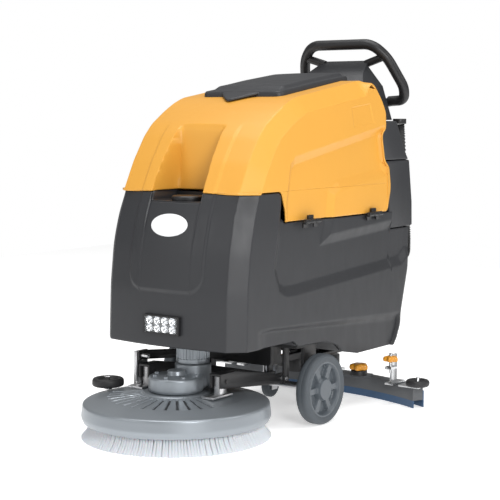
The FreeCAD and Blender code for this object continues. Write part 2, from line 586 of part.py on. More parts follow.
def make_recovery_tank():
    rear = [(18, 412), (158, 412), (189, 328), (707, 328), (716, 331), (737, 397), (729, 464), (706, 478),
            (690, 556), (713, 570), (713, 605), (711, 626)]
    shell = prism("tank_shell", "YZ", side_points(rear + COWL[:0:-1]), "-tank_half_width",
                  "tank_half_width")
    chamfered(shell, side_points(COWL), "corner_chamfer")
    inside = prism("dirty_water_space", "YZ", side_points([
        (136, 420), (168, 420), (195, 336), (680, 336), (680, 655), (640, 694), (604, 706),
        (278, 652), (235, 636), (187, 614), (146, 585)]),
        "-tank_half_width + 46", "tank_half_width - 46")
    mouth = box("tank_mouth", ("-mouth_half_width", "mouth_half_width"),
                (back("mouth_front"), back("mouth_rear")), (up(600), up(740)))
    scoop = prism("scoop_cut", "YZ", side_points([(-20, 400), (119, 400), (129, 596), (-20, 596)]),
                  "-scoop_half_width", "scoop_half_width")
    lugs = [box("lid_lug_%d" % i, (x, x + 20), (back(654), back(670)), (up(660), up(720)))
            for i, x in enumerate((-81, 61))]
    clear = box("tip_clearance", ("-tank_half_width - 2", "column_step"), (back("tank_rear"), back(760)),
                (up(300), up(740)))
    pin_hole = rod("lug_hole", "hinge_pin_radius", 300, -150, back(663), up(713), "X")
    part("recovery_tank", cut("recovery_tank", fuse("tank_blank", shell, *lugs), inside, mouth, scoop,
                              pin_hole, clear))

    lid_outer = prism("lid_outer", "YZ", side_points([
        (290, 668), (290, 682), (312, 687), (336, 697), (640, 736), (656, 733), (656, 727)]),
        "-lid_half_width", "lid_half_width")
    lid_inner = prism("lid_inner", "YZ", side_points([
        (322, 660), (322, 682), (342, 690), (632, 728), (632, 712)]),
        "-mouth_half_width - 8", "mouth_half_width + 8")
    beak = prism("lid_beak", "XY", [(-65, back(292)), (0, back(232)), (65, back(292))], up(640), up(690))
    wedge = prism("lid_wedge", "YZ", side_points([
        (230, 653), (278, 668), (292, 671), (292, 682), (234, 660)]), -65, 65)
    tongue = common("lid_tongue", beak, wedge)
    eyes = [box("lid_eye_%d" % i, (x, x + 20), (back(652), back(670)), (up(706), up(732)))
            for i, x in enumerate((-102, 82))]
    eye_bore = rod("lid_bore", "hinge_pin_radius + running", 300, -150, back(663), up(713), "X")
    part("tank_lid", cut("tank_lid", fuse("lid_blank", lid_outer, tongue, *eyes), lid_inner, eye_bore))


def make_hinges():
    x = "(body_half_width + hinge_radius + 1)"
    z = up(326)
    lower = []
    upper = []
    pins = []
    third = "hinge_length / 3"
    for i, start in enumerate(("hinge_front", "hinge_rear")):
        for k in range(3):
            y = back("(%s + %s * %d + 0.5)" % (start, third, k))
            length = third + " - 1"
            knuckle = rod("knuckle_%d_%d" % (i, k), "hinge_radius", length, x, y, z, "Y")
            if k == 1:
                leaf = box("leaf_%d_%d" % (i, k), ("tank_half_width", "tank_half_width + 7"),
                           (y, y + " + " + length), (z + " + 4", z + " + 17"))
            else:
                leaf = box("leaf_%d_%d" % (i, k), ("body_half_width", "body_half_width + 5"),
                           (y, y + " + " + length), (z + " - 17", z + " - 2"))
            (upper if k == 1 else lower).extend((knuckle, leaf))
        pins.append((start, rod("pin_%d" % i, "hinge_pin_radius", "hinge_length + 4", x,
                                back(start + " - 2"), z, "Y")))
    bores = [rod("bore_%d_%d" % (i, j), "hinge_pin_radius + running * %d" % j, "hinge_length + 20",
                 x, back(start + " - 10"), z, "Y") for i, (start, pin) in enumerate(pins) for j in (0, 1)]
    lower_cut = cut("hinge_lower_cut", fuse("hinge_lower_blank", *lower), bores[0], bores[2])
    part("hinge_lower_leaves", fuse("hinge_lower_leaves", lower_cut, *[pin for start, pin in pins]))
    upper_cut = cut("hinge_upper_cut", fuse("hinge_upper_blank", *upper), bores[1], bores[3])
    lid_pin = rod("lid_hinge_pin", "hinge_pin_radius", 206, -103, back(663), up(713), "X")
    part("hinge_upper_leaves", fuse("hinge_upper_leaves", upper_cut, lid_pin))


# ---------------------------------------------------------------- console and handle
def panel_point(along, out):
    """Y and Z of a point on the sloped control panel: distance up the slope and distance off it."""
    y = back("(handle_y - (%s) * sin(panel_tilt * 1 deg) + (%s) * cos(panel_tilt * 1 deg))" % (along, out))
    z = up("(handle_rise + (%s) * cos(panel_tilt * 1 deg) + (%s) * sin(panel_tilt * 1 deg))" % (along, out))
    return y, z


PANEL_TURN = (V(1, 0, 0), -(90 - SIZES["panel_tilt"]))


def on_panel(item, x, along, out):
    """Stand a piece on the control panel, its own Z square to the slope."""
    y, z = panel_point(along, out)
    place(item, x, y, z, PANEL_TURN)
    item.setExpression("Placement.Rotation.Angle", expression("(90 - panel_tilt) * 1 deg"))
    item.Placement.Rotation.Axis = V(-1, 0, 0)
    return item


def make_console():
    front_view = prism("console_front", "XZ", [
        ("-neck_half_width", up(599)), ("neck_half_width", up(599)), ("neck_half_width", up(704)),
        ("console_half_width", up(792)), ("-console_half_width", up(792)), ("-neck_half_width", up(704))],
        back(700), back(960))
    low = panel_point(-40, -24)
    high = panel_point(168, -24)
    side_view = prism("console_side", "YZ", [
        (back(722), up(599)), (back(868), up(599)), low, high, panel_point(172, 0),
        (back(784), up(744)), (back(745), up(700))],
        "-neck_half_width - 2", "neck_half_width + 2")
    shell = common("console_shell", front_view, side_view)

    corner = "handle_half_width"
    length = "handle_length"
    route = []
    for sign, order in ((-1, 1), (1, -1)):
        half = [("%d * (neck_half_width - 8)" % sign, 28), ("%d * (%s - 4)" % (sign, corner), 32),
                ("%d * (%s + 8)" % (sign, corner), 76),
                ("%d * (%s - 24)" % (sign, corner), "%s - 46" % length),
                ("%d * (%s - 66)" % (sign, corner), length)]
        route += [(x,) + panel_point(along, 0) for x, along in half[::order]]
    loop = bent_tube("handle_loop", route, "grip_radius")
    webs = [bent_tube("handle_web_" + side, [
        ("%d * (%s - 28)" % (sign, corner),) + panel_point("%s - 42" % length, 0),
        ("%d * (console_half_width - 2)" % sign,) + panel_point(164, -6)], 12)
        for side, sign in mirrored_sides()]
    part("handle_ring", fuse("handle_ring", loop, *webs))
    stays = []
    for side, sign in mirrored_sides():
        stay = box("stay_" + side, span(sign, "neck_half_width - 36", "neck_half_width - 6"),
                   (back("handle_y - 54"), back("handle_y - 8")),
                   (up("handle_rise + 8"), up("handle_rise + 34")))
        stays.append(stay)
    part("console_housing", cut("console_housing", fuse("console_blank", shell, *stays),
                                doc.getObject("handle_ring")))


def slab(name, size, x, along, out):
    """A rectangular piece of the control panel, its length across the machine."""
    item = doc.addObject("Part::Box", name)
    item.Length, item.Width, item.Height = size
    return on_panel(item, x, along, out)


def disc(name, radius, height, x, along, out):
    """A round piece that stands on the control panel."""
    item = doc.addObject("Part::Cylinder", name)
    item.setExpression("Radius", expression(radius))
    item.setExpression("Height", expression(height))
    return on_panel(item, x, along, out)


def make_controls():
    buttons = {"start_button": (-50, 60, 9, 8), "water_button": (-20, 60, 9, 8),
               "stop_button": (46, 36, 16, 17)}
    holes = []
    for name, (x, along, radius, height) in buttons.items():
        holes.append(disc(name + "_hole", "%s + gap" % radius, 12, x, along, -26))
        part(name, disc(name, radius, height, x, along, -22.4))
    part("control_panel", cut("control_panel", slab("panel_plate", (150, 120, 4), -75, 125, -24), *holes))
    part("display_window", slab("display_window", (64, 40, 2), -32, 118, -20))
    part("key_switch", disc("key_switch", 8, 8, -50, 22, -19.6))
    part("speed_knob", disc("speed_knob", 13, 10, -10, 26, -19.6))


# ---------------------------------------------------------------- squeegee
def sector(name, outer, inner, low, high, trim=0):
    """A band along the squeegee's bend, between two radii and two heights."""
    centre = back("squeegee_apex - squeegee_bend")
    angle = "(squeegee_sweep - %s) * 1 deg" % trim
    pie = rod(name + "_pie", outer, "%s - (%s)" % (high, low), 0, centre, low)
    pie.setExpression("Angle", expression(angle))
    pie.setExpression("Placement.Rotation.Angle",
                      expression("(90 - (squeegee_sweep - %s) / 2) * 1 deg" % trim))
    core = rod(name + "_core", inner, "%s - (%s) + 2" % (high, low), 0, centre, "(%s) - 1" % low)
    return cut(name, pie, core)


def make_squeegee():
    front = "squeegee_bend - squeegee_depth"
    body = sector("squeegee_bar", "squeegee_bend - blade_thickness", front, 22, "22 + squeegee_height")
    nozzle = rod("nozzle", 24, 50, 0, back("squeegee_apex - 20"), "21 + squeegee_height")
    throat = rod("throat", 19, 86, 0, back("squeegee_apex - 20"), 20)
    mount = box("squeegee_mount", (-160, 160), (back("squeegee_apex - 96"), back("squeegee_apex - 34")),
                ("22 + squeegee_height", "28 + squeegee_height"))
    inlet = rod("inlet", 15, 40, 0, back("squeegee_apex - 60"), "48 + squeegee_height", "Y")
    inlet_bore = rod("inlet_bore", 12, 70, 0, back("squeegee_apex - 70"), "48 + squeegee_height", "Y")
    part("squeegee_body", cut("squeegee_body", fuse("squeegee_blank", body, nozzle, mount, inlet), throat,
                              inlet_bore))
    part("rear_blade", sector("rear_blade", "squeegee_bend", "squeegee_bend - blade_thickness", 0, 50))
    part("front_blade", sector("front_blade", front + " + blade_thickness", front, 0, 22))
    part("blade_strap", sector("blade_strap", "squeegee_bend + 2", "squeegee_bend", 34, 48, 1))
    top = "(22 + squeegee_height)"
    knobs = []
    brackets = []
    for side, sign in mirrored_sides():
        x = "%d * roller_x" % sign
        bracket = box("roller_arm_" + side, span(sign, "roller_x - 60", "roller_x + 8"),
                      (back("roller_y - 10"), back("roller_y + 34")), (top, top + " + 5"))
        stem = rod("roller_stem_" + side, "pin_radius", 28, x, back("roller_y"), top + " + 4")
        brackets += [bracket, stem]
        part("end_roller_" + side, turned("end_roller_" + side, [
            ("pin_radius + running", 0), ("roller_radius - 3", 0), ("roller_radius", 3),
            ("roller_radius", 18),
            ("roller_radius - 3", 21), ("pin_radius + running", 21)], x, back("roller_y"), top + " + 5.5"))
        knobs.append(rod("clamp_knob_" + side, 19, 16, "%d * 137" % sign, back(721),
                         "28 + squeegee_height"))
        post = box("support_post_" + side, span(sign, 262, 268), (back(694), back(726)), (top, "150"))
        stud = rod("support_stud_" + side, 5, 60, "%d * 278" % sign, back(672), 100)
        foot = box("support_foot_" + side, span(sign, 262, 290), (back(664), back(738)),
                   (top, top + " + 6"))
        lug = box("support_lug_" + side, span(sign, 262, 284), (back(664), back(698)), (110, 118))
        brackets += [post, stud, foot, lug]
        disc = rod("height_disc_" + side, 17, 14, "%d * 278" % sign, back(672), 136)
        bore = rod("height_bore_" + side, 5, 30, "%d * 278" % sign, back(672), 130)
        knobs.append(cut("height_knob_" + side, disc, bore))
    make_squeegee_arm(brackets)
    part("squeegee_knobs", fuse("squeegee_knobs", *knobs))


def make_squeegee_arm(brackets):
    hub = turned("swing_hub", [
        (0, -14), (32, -14), (32, 40), ("spigot_radius + running", 40),
        ("spigot_radius + running", 1), (0, 1)],
        0, back("swing_y"), "tilt_z + 10")
    outlet = rod("outlet", 15, 30, 0, back("swing_y + 28"), "tilt_z + 22", "Y")
    outlet_bore = rod("outlet_bore", 12, 60, 0, back("swing_y"), "tilt_z + 22", "Y")
    plate = box("swing_plate", (-66, 66), (back("swing_y + 14"), back("swing_y + 40")),
                ("tilt_z - 10", "tilt_z - 2"))
    ears = []
    bars = []
    for side, sign in mirrored_sides():
        ears.append(box("swing_ear_" + side, span(sign, 59, 66),
                        (back("swing_y + 14"), back("tilt_y + 12")),
                        ("tilt_z - 11", "tilt_z + 12")))
        ears.append(rod("tilt_pin_" + side, "pin_radius", 24, span(sign, 42, 66)[0], back("tilt_y"),
                        "tilt_z", "X"))
        bar = prism("tilt_bar_" + side, "YZ", [
            (back("tilt_y - 12"), "tilt_z - 11"), (back("tilt_y + 12"), "tilt_z - 12"),
            (back(704), 70), (back(766), 70),
            (back(766), 78), (back(712), 84), (back("tilt_y + 12"), "tilt_z + 12"),
            (back("tilt_y - 12"), "tilt_z + 12")],
            *span(sign, 48, 57))
        bars.append(cut("tilt_lever_" + side, bar, rod("tilt_bore_" + side, "pin_radius + running", 40,
                                                       span(sign, 30, 70)[0], back("tilt_y"), "tilt_z", "X")))
    part("swing_arm", cut("swing_arm", fuse("swing_blank", hub, outlet, plate, *ears), outlet_bore))
    part("squeegee_brackets", fuse("squeegee_brackets", *brackets, *bars))
    route = [(0, back("swing_y + 60.5"), "tilt_z + 22"), (0, back("tilt_y + 45"), "tilt_z + 17"),
             (0, back(716), 95), (0, back(737), 91)]
    part("suction_hose", bent_tube("suction_hose", route, 16, 12))


def make_rear_fittings():
    base = box("lever_base", (-78, -42), (back(905.5), back(911)), (up(294), up(346)))
    cheeks = [box("lever_cheek_%d" % i, (x, x + 6), (back(908), back(938)), (up(300), up(340)))
              for i, x in enumerate((-76, -50))]
    pin = rod("lever_pin", "pin_radius", 32, -76, back(926), up(320), "X")
    part("lever_bracket", fuse("lever_bracket", base, pin, *cheeks))
    hub = rod("lever_hub", 10, 18, -69, back(926), up(320), "X")
    bar = box("lever_bar", (-66, -54), (back(922), back(930)), (up(322), up(440)))
    ball = doc.addObject("Part::Sphere", "lever_ball")
    ball.Radius = 14
    place(ball, -60, back(926), up(446))
    bore = rod("lever_bore", "pin_radius + running", 60, -90, back(926), up(320), "X")
    part("lift_lever", cut("lift_lever", fuse("lever_blank", hub, bar, ball), bore))
    socket = rod("drain_socket", 26, 11, 180, back(869), up(175), "Y")
    route = [(180, back(882), up(175)), (180, back(926), up(177)), (176, back(930), up(260)),
             (160, back(928), up(400)), (152, back(926), up(585))]
    hose = bent_tube("drain_hose_tube", route, 17)
    plug = rod("drain_plug", 21, 16, 152, back(926), up(587))
    part("drain_hose", hose)
    part("drain_fittings", fuse("drain_fittings", socket, plug))


MAKERS = (make_brush, make_deck, make_linkage, make_chassis, make_pedal, make_wheels, make_solution_tank,
          make_column, make_recovery_tank, make_hinges, make_console, make_controls, make_squeegee,
          make_rear_fittings)
for make in MAKERS:
    make()
    doc.recompute()

# ---------------------------------------------------------------- checks and export
for item in doc.Objects:
    if "Invalid" in item.State or "Error" in item.State:
        raise RuntimeError("%s did not build: %s" % (item.Label, item.State))
os.makedirs("parts", exist_ok=True)
for name, item in PARTS:
    if item.Shape.isNull() or not item.Shape.isValid():
        raise RuntimeError(name + " is not a valid shape")
    item.Shape.exportStep("parts/%s.step" % name)
print("parts", len(PARTS))
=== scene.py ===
"""Looks of a walk-behind floor scrubber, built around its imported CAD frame.

Sizes are in the machine's own millimetres: X across, Y back from the brush axis and
Z up from the underside of the clean water tank, and reach the mesh in metres.
"""

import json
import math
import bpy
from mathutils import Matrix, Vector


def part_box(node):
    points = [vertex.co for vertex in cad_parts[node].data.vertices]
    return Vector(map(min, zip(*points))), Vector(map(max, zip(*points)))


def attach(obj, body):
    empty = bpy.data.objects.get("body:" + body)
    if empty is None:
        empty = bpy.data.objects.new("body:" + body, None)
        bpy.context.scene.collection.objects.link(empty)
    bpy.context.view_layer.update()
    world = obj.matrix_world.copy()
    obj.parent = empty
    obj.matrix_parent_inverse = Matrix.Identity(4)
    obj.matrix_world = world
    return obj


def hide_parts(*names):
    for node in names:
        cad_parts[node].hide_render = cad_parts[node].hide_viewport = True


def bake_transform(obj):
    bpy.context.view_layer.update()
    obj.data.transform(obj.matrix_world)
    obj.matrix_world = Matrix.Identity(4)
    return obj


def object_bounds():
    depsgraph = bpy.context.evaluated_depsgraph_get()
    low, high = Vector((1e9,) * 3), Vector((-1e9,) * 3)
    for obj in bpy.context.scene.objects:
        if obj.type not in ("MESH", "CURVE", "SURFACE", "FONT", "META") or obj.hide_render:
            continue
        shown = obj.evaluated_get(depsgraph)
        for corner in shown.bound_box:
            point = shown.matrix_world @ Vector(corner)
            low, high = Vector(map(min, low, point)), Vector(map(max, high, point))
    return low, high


bl_info = {
    "name": "Floor Scrubber Looks",
    "version": (1, 0, 0),
    "blender": (4, 5, 0),
    "location": "3D View > Sidebar > Scrubber",
    "description": "Shells, brush, squeegee and finishes of a walk-behind floor scrubber",
    "category": "Object",
}

import bmesh
import bpy
import numpy as np
from mathutils import Vector

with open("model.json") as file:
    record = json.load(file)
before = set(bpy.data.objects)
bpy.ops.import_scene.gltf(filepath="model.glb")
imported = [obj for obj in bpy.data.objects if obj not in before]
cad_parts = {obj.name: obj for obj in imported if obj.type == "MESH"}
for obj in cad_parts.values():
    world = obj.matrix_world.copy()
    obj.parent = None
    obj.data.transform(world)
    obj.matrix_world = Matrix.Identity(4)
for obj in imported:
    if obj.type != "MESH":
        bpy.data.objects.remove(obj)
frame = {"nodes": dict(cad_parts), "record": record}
CAD_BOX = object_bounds()
NODES = frame["nodes"]
MM = 0.001
MOULDED = set()


def middle(node):
    """Centre of a CAD node's box."""
    low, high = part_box(node)
    return (low + high) / 2


BRUSH_AXIS = middle("bristles")
SEAM_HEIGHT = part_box("recovery_tank")[0].z
UNDERSIDE = SEAM_HEIGHT - 328 * MM


# ---------------------------------------------------------------- settings
class ScrubberColours(bpy.types.PropertyGroup):
    """Colours of the moulded and metal pieces."""
    yellow: bpy.props.FloatVectorProperty(
        name="Tank yellow", description="Colour of the recovery tank", subtype="COLOR", size=3,
        default=(0.67, 0.325, 0.045))
    dark: bpy.props.FloatVectorProperty(
        name="Body grey", description="Colour of the lower body", subtype="COLOR", size=3,
        default=(0.0225, 0.0235, 0.0265))
    silver: bpy.props.FloatVectorProperty(
        name="Deck silver", description="Colour of the brush deck", subtype="COLOR", size=3,
        default=(0.27, 0.295, 0.32))
    rubber: bpy.props.FloatVectorProperty(
        name="Tyre grey", description="Colour of the tyres", subtype="COLOR", size=3,
        default=(0.060, 0.070, 0.080))
    knob: bpy.props.FloatVectorProperty(
        name="Knob yellow", description="Colour of the hand knobs", subtype="COLOR", size=3,
        default=(0.66, 0.28, 0.02))
    blade: bpy.props.FloatVectorProperty(
        name="Blade blue", description="Colour of the squeegee blades", subtype="COLOR", size=3,
        default=(0.030, 0.080, 0.165))
    bristle: bpy.props.FloatVectorProperty(
        name="Bristle white", description="Colour of the bristles", subtype="COLOR", size=3,
        default=(0.66, 0.69, 0.73))


class ScrubberSizes(bpy.types.PropertyGroup):
    """Sizes of the details that the frame doesn't hold."""
    recess: bpy.props.FloatProperty(
        name="Side recess", description="Depth of the recessed side panels", default=0.013,
        min=0.0, max=0.03, unit="LENGTH")
    wall: bpy.props.FloatProperty(
        name="Shell wall", description="Wall of the moulded shells", default=0.005,
        min=0.001, max=0.01, unit="LENGTH")
    tufts: bpy.props.IntProperty(
        name="Bristle tufts", description="Tufts in each ring of the brush", default=190, min=20, max=400)


# ---------------------------------------------------------------- meshes
def machine(x, y, z):
    """Points in metres from machine millimetres, stacked on a last axis."""
    x, y, z = np.broadcast_arrays(np.asarray(x, float), np.asarray(y, float), np.asarray(z, float))
    return np.stack((x * MM, y * MM + BRUSH_AXIS.y, z * MM + UNDERSIDE), axis=-1)


def ease(value):
    """0 below 0, 1 above 1, and a smooth cubic between."""
    value = np.clip(value, 0, 1)
    return value * value * (3 - 2 * value)


def soft_line(at, stops, values, reach):
    """Straight lines between stops, averaged over a reach each side so that corners are round."""
    offsets = np.linspace(-reach, reach, 9)
    return np.mean([np.interp(at + offset, stops, values) for offset in offsets], axis=0)


def inside(y, z, corners):
    """Distance in from the edge of a polygon, negative outside it: the nearest edge's
    distance, signed by how often a ray crosses the edges."""
    corners = np.asarray(corners, float)
    nearest = np.full(np.shape(y), 1e9)
    crossings = np.zeros(np.shape(y), bool)
    for (y0, z0), (y1, z1) in zip(corners, np.roll(corners, -1, axis=0)):
        along = np.clip(((y - y0) * (y1 - y0) + (z - z0) * (z1 - z0)) / ((y1 - y0) ** 2 + (z1 - z0) ** 2), 0, 1)
        nearest = np.minimum(nearest, np.hypot(y - y0 - along * (y1 - y0), z - z0 - along * (z1 - z0)))
        if z0 != z1:
            crossings ^= ((z0 > z) != (z1 > z)) & (y < (y1 - y0) * (z - z0) / (z1 - z0) + y0)
    return np.where(crossings, nearest, -nearest)


class Shape:
    """Grids of points gathered into one mesh."""

    def __init__(self):
        self.points = []
        self.faces = []
        self.count = 0

    def grid(self, points, wrap_rows=False, wrap_columns=False, keep=None):
        """Quads between neighbouring points of a grid, or of many like grids stacked in front."""
        points = np.asarray(points, float)
        rows, columns = points.shape[-3:-1]
        copies = points.reshape(-1, rows * columns, 3)
        i, j = np.meshgrid(np.arange(rows if wrap_rows else rows - 1),
                           np.arange(columns if wrap_columns else columns - 1), indexing="ij")
        i_next = (i + 1) % rows
        j_next = (j + 1) % columns
        quads = np.stack((i * columns + j, i * columns + j_next, i_next * columns + j_next,
                          i_next * columns + j), axis=-1)
        quads = quads[keep] if keep is not None else quads.reshape(-1, 4)
        starts = np.arange(len(copies)) * rows * columns + self.count
        self.faces.append((quads[None] + starts[:, None, None]).reshape(-1, 4))
        self.points.append(copies.reshape(-1, 3))
        self.count += copies.shape[0] * copies.shape[1]
        return self

    def build(self, name, body, slot, closed=True, replaces=(), crease=None):
        """The mesh object, its doubles merged, riding on a CAD body."""
        mesh = bpy.data.meshes.new(name)
        mesh.from_pydata(np.concatenate(self.points).tolist(), [], np.concatenate(self.faces).tolist())
        work = bmesh.new()
        work.from_mesh(mesh)
        bmesh.ops.remove_doubles(work, verts=work.verts, dist=2e-5)
        bmesh.ops.dissolve_degenerate(work, edges=work.edges, dist=1e-6)
        if closed:
            bmesh.ops.recalc_face_normals(work, faces=work.faces)
        work.to_mesh(mesh)
        work.free()
        return finish(name, mesh, body, slot, replaces, crease)


def finish(name, mesh, body, slot, replaces, crease=None):
    """Put a mesh into the scene with its finish and its body."""
    mesh.materials.clear()
    mesh.materials.append(coat_of(slot))
    mesh.polygons.foreach_set("use_smooth", np.ones(len(mesh.polygons), bool))
    if crease is not None:
        mesh.set_sharp_from_angle(angle=math.radians(crease))
    piece = bpy.data.objects.new(name, mesh)
    bpy.context.scene.collection.objects.link(piece)
    if body:
        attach(piece, body)
    if replaces:
        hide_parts(*replaces)
        MOULDED.update(replaces)
    return piece


def outward(points):
    """A grid turned, if need be, so that its faces look away from its middle."""
    centre = points.reshape(-1, 3).mean(0)
    normal = np.cross(points[1:, :-1] - points[:-1, :-1], points[:-1, 1:] - points[:-1, :-1])
    away = points[:-1, :-1] - centre
    return points[::-1] if (normal * away).sum() > 0 else points


def revolved(profile, centre, sides=96, axis="Z", ripple=None):
    """A profile of radius and height, in millimetres, turned about an axis through a point in metres."""
    profile = np.asarray(profile, float)
    turn = np.linspace(0, 2 * math.pi, sides, endpoint=False)
    radius = profile[:, 0][:, None] * np.ones(sides)
    height = profile[:, 1][:, None] * np.ones(sides)
    if ripple is not None:
        radius, height = ripple(radius, height, turn[None, :])
    across, up = radius * np.cos(turn), radius * np.sin(turn)
    order = {"Z": (across, up, height), "X": (height, across, up), "Y": (across, height, up)}[axis]
    return np.stack(order, axis=-1) * MM + np.asarray(centre, float)


def rounded(corners, radius, steps=5):
    """An open outline with each inner corner swapped for an arc-like curve: a quadratic
    through points a radius before and after the corner."""
    corners = [np.asarray(c, float) for c in corners]
    line = [corners[0]]
    for before, corner, after in zip(corners, corners[1:], corners[2:]):
        reach_in = min(radius, np.linalg.norm(before - corner) * 0.45)
        reach_out = min(radius, np.linalg.norm(after - corner) * 0.45)
        start = corner + (before - corner) / np.linalg.norm(before - corner) * reach_in
        end = corner + (after - corner) / np.linalg.norm(after - corner) * reach_out
        t = np.linspace(0, 1, steps)[:, None]
        line.extend((1 - t) ** 2 * start + 2 * t * (1 - t) * corner + t ** 2 * end)
    line.append(corners[-1])
    return np.array(line)


def route(points, samples):
    """A smooth line near a few points: the uniform cubic B-spline with its ends held."""
    points = np.asarray(points, float)
    held = np.concatenate((points[:1], points[:1], points, points[-1:], points[-1:]))
    t = np.linspace(0, len(held) - 3 - 1e-6, samples)
    k = t.astype(int)
    f = (t - k)[:, None]
    weights = ((1 - f) ** 3, 3 * f ** 3 - 6 * f ** 2 + 4, -3 * f ** 3 + 3 * f ** 2 + 3 * f + 1, f ** 3)
    return sum(w * held[k + i] for i, w in enumerate(weights)) / 6


def tube(path, radius, sides=20, hint=(0.31, 0.17, 0.93)):
    """A round tube: circles square to a path, whose radius may change along it."""
    tangent = np.gradient(path, axis=0)
    tangent /= np.linalg.norm(tangent, axis=1)[:, None]
    side = np.cross(tangent, np.asarray(hint))
    side /= np.linalg.norm(side, axis=1)[:, None]
    other = np.cross(tangent, side)
    turn = np.linspace(0, 2 * math.pi, sides, endpoint=False)[None, :, None]
    radius = np.broadcast_to(np.asarray(radius, float), (len(path),))[:, None, None]
    return path[:, None] + radius * (np.cos(turn) * side[:, None] + np.sin(turn) * other[:, None])


def plate(corners, radius, front, rear):
    """A flat plate: one rounded outline in x and z at its front and again at its rear,
    both closed to the outline's middle."""
    edge = rounded(corners, radius, 4)
    core = np.broadcast_to(edge.mean(axis=0), edge.shape)
    rows = ((core, front), (edge, front), (edge, rear), (core, rear))
    return outward(np.stack([machine(flat[:, 0], at, flat[:, 1]) for flat, at in rows]))


def softened(name, nodes, body, slot, width, pull=None):
    """Copies of CAD nodes with their edges rounded over."""
    work = bmesh.new()
    for node in nodes:
        work.from_mesh(NODES[node].data)
    bmesh.ops.remove_doubles(work, verts=work.verts, dist=2e-6)
    if pull is not None:
        pull(work)
    bmesh.ops.dissolve_limit(work, angle_limit=math.radians(2), verts=work.verts, edges=work.edges)
    mesh = bpy.data.meshes.new(name)
    work.to_mesh(mesh)
    work.free()
    piece = finish(name, mesh, body, slot, nodes)
    edges = piece.modifiers.new("rounded_edges", "BEVEL")
    edges.width = width
    edges.segments = 2
    edges.limit_method = "ANGLE"
    edges.angle_limit = math.radians(28)
    edges.harden_normals = True
    return piece


# ---------------------------------------------------------------- materials
class Wire:
    """A node socket that takes part in arithmetic."""

    def __init__(self, maker, socket):
        self.maker = maker
        self.socket = socket

    def _join(self, operation, first, second):
        return self.maker.node("ShaderNodeMath", {"operation": operation}, [first, second])

    def __add__(self, other):
        return self._join("ADD", self, other)

    def __sub__(self, other):
        return self._join("SUBTRACT", self, other)

    def __rsub__(self, other):
        return self._join("SUBTRACT", other, self)

    def __mul__(self, other):
        return self._join("MULTIPLY", self, other)

    def __pow__(self, other):
        return self._join("POWER", self, other)

    __radd__ = __add__
    __rmul__ = __mul__


class Maker:
    """A material in the making."""

    def __init__(self, name):
        self.material = bpy.data.materials.new(name)
        self.material.use_nodes = True
        self.tree = self.material.node_tree
        self.shader = self.tree.nodes["Principled BSDF"]

    def node(self, kind, settings=None, inputs=(), output=0):
        """A node of a type, with its settings made first and then its sockets filled."""
        item = self.tree.nodes.new(kind)
        for key, value in (settings or {}).items():
            if key == "stops":
                for element, (position, colour) in zip(item.color_ramp.elements, value):
                    element.position = position
                    element.color = colour
            else:
                setattr(item, key, value)
        pairs = inputs.items() if isinstance(inputs, dict) else enumerate(inputs)
        for key, value in pairs:
            self.fill(item.inputs[key], value)
        return Wire(self, item.outputs[output])

    def fill(self, socket, value):
        """Link a wire to a socket or set its value."""
        if isinstance(value, Wire):
            self.tree.links.new(value.socket, socket)
        elif value is not None:
            socket.default_value = value

    def mix(self, factor, first, second):
        """A colour between two others."""
        return self.node("ShaderNodeMix", {"data_type": "RGBA"}, {0: factor, 6: first, 7: second}, 2)

    def noise(self, scale, detail=2.0, stretch=None):
        """Cloudy values from 0 to 1 over the piece's own space."""
        place = self.node("ShaderNodeTexCoord", output="Object")
        if stretch:
            place = self.node("ShaderNodeMapping", inputs={"Vector": place, "Scale": stretch})
        return self.node("ShaderNodeTexNoise", inputs={"Vector": place, "Scale": scale, "Detail": detail})

    def bump(self, height, strength, distance):
        """A surface normal raised by a height."""
        return self.node("ShaderNodeBump", inputs={"Strength": strength, "Distance": distance, "Height": height})

    def done(self, **sockets):
        """Fill the shader's sockets, their names written with underscores."""
        for key, value in sockets.items():
            self.fill(self.shader.inputs[key.replace("_", " ")], value)
        return self.material


def shade(colour, factor):
    """A colour made lighter or darker, with alpha."""
    return tuple(min(1.0, channel * factor) for channel in colour[:3]) + (1.0,)


MATERIALS = {}


def material(name, build):
    """A material that is made once and then shared."""
    if name not in MATERIALS:
        MATERIALS[name] = build(name)
    return MATERIALS[name]


def moulded(colour, roughness, grain=900.0, depth=0.12, mottle=0.06, coat=0.0, scuff=0.05):
    """Moulded plastic: a faint clouding of the colour, a fine leather-like grain and dull patches."""
    def build(name):
        make = Maker(name)
        cloud = make.noise(5.0, 4.0)
        rub = make.noise(38.0, 6.0, (1.0, 1.0, 0.35))
        fine = make.noise(grain, 2.0)
        tone = make.mix(cloud, shade(colour, 1 - mottle), shade(colour, 1 + mottle))
        return make.done(
            Base_Color=tone, Roughness=roughness + (rub - 0.5) * scuff * 4 + (fine - 0.5) * 0.08,
            Normal=make.bump(fine, depth, 0.0006), Coat_Weight=coat, Coat_Roughness=0.25,
            Specular_IOR_Level=0.45)
    return build


def metal(colour, roughness, metallic=1.0, stretch=(1.0, 1.0, 1.0), scale=700.0, depth=0.06, mottle=0.05):
    """Bare or painted metal with a fine texture that may run one way."""
    def build(name):
        make = Maker(name)
        cloud = make.noise(9.0, 3.0)
        fine = make.noise(scale, 3.0, stretch)
        tone = make.mix(cloud, shade(colour, 1 - mottle), shade(colour, 1 + mottle))
        return make.done(
            Base_Color=tone, Metallic=metallic, Roughness=roughness + (fine - 0.5) * 0.16 + (cloud - 0.5) * 0.08,
            Normal=make.bump(fine, depth, 0.0004))
    return build


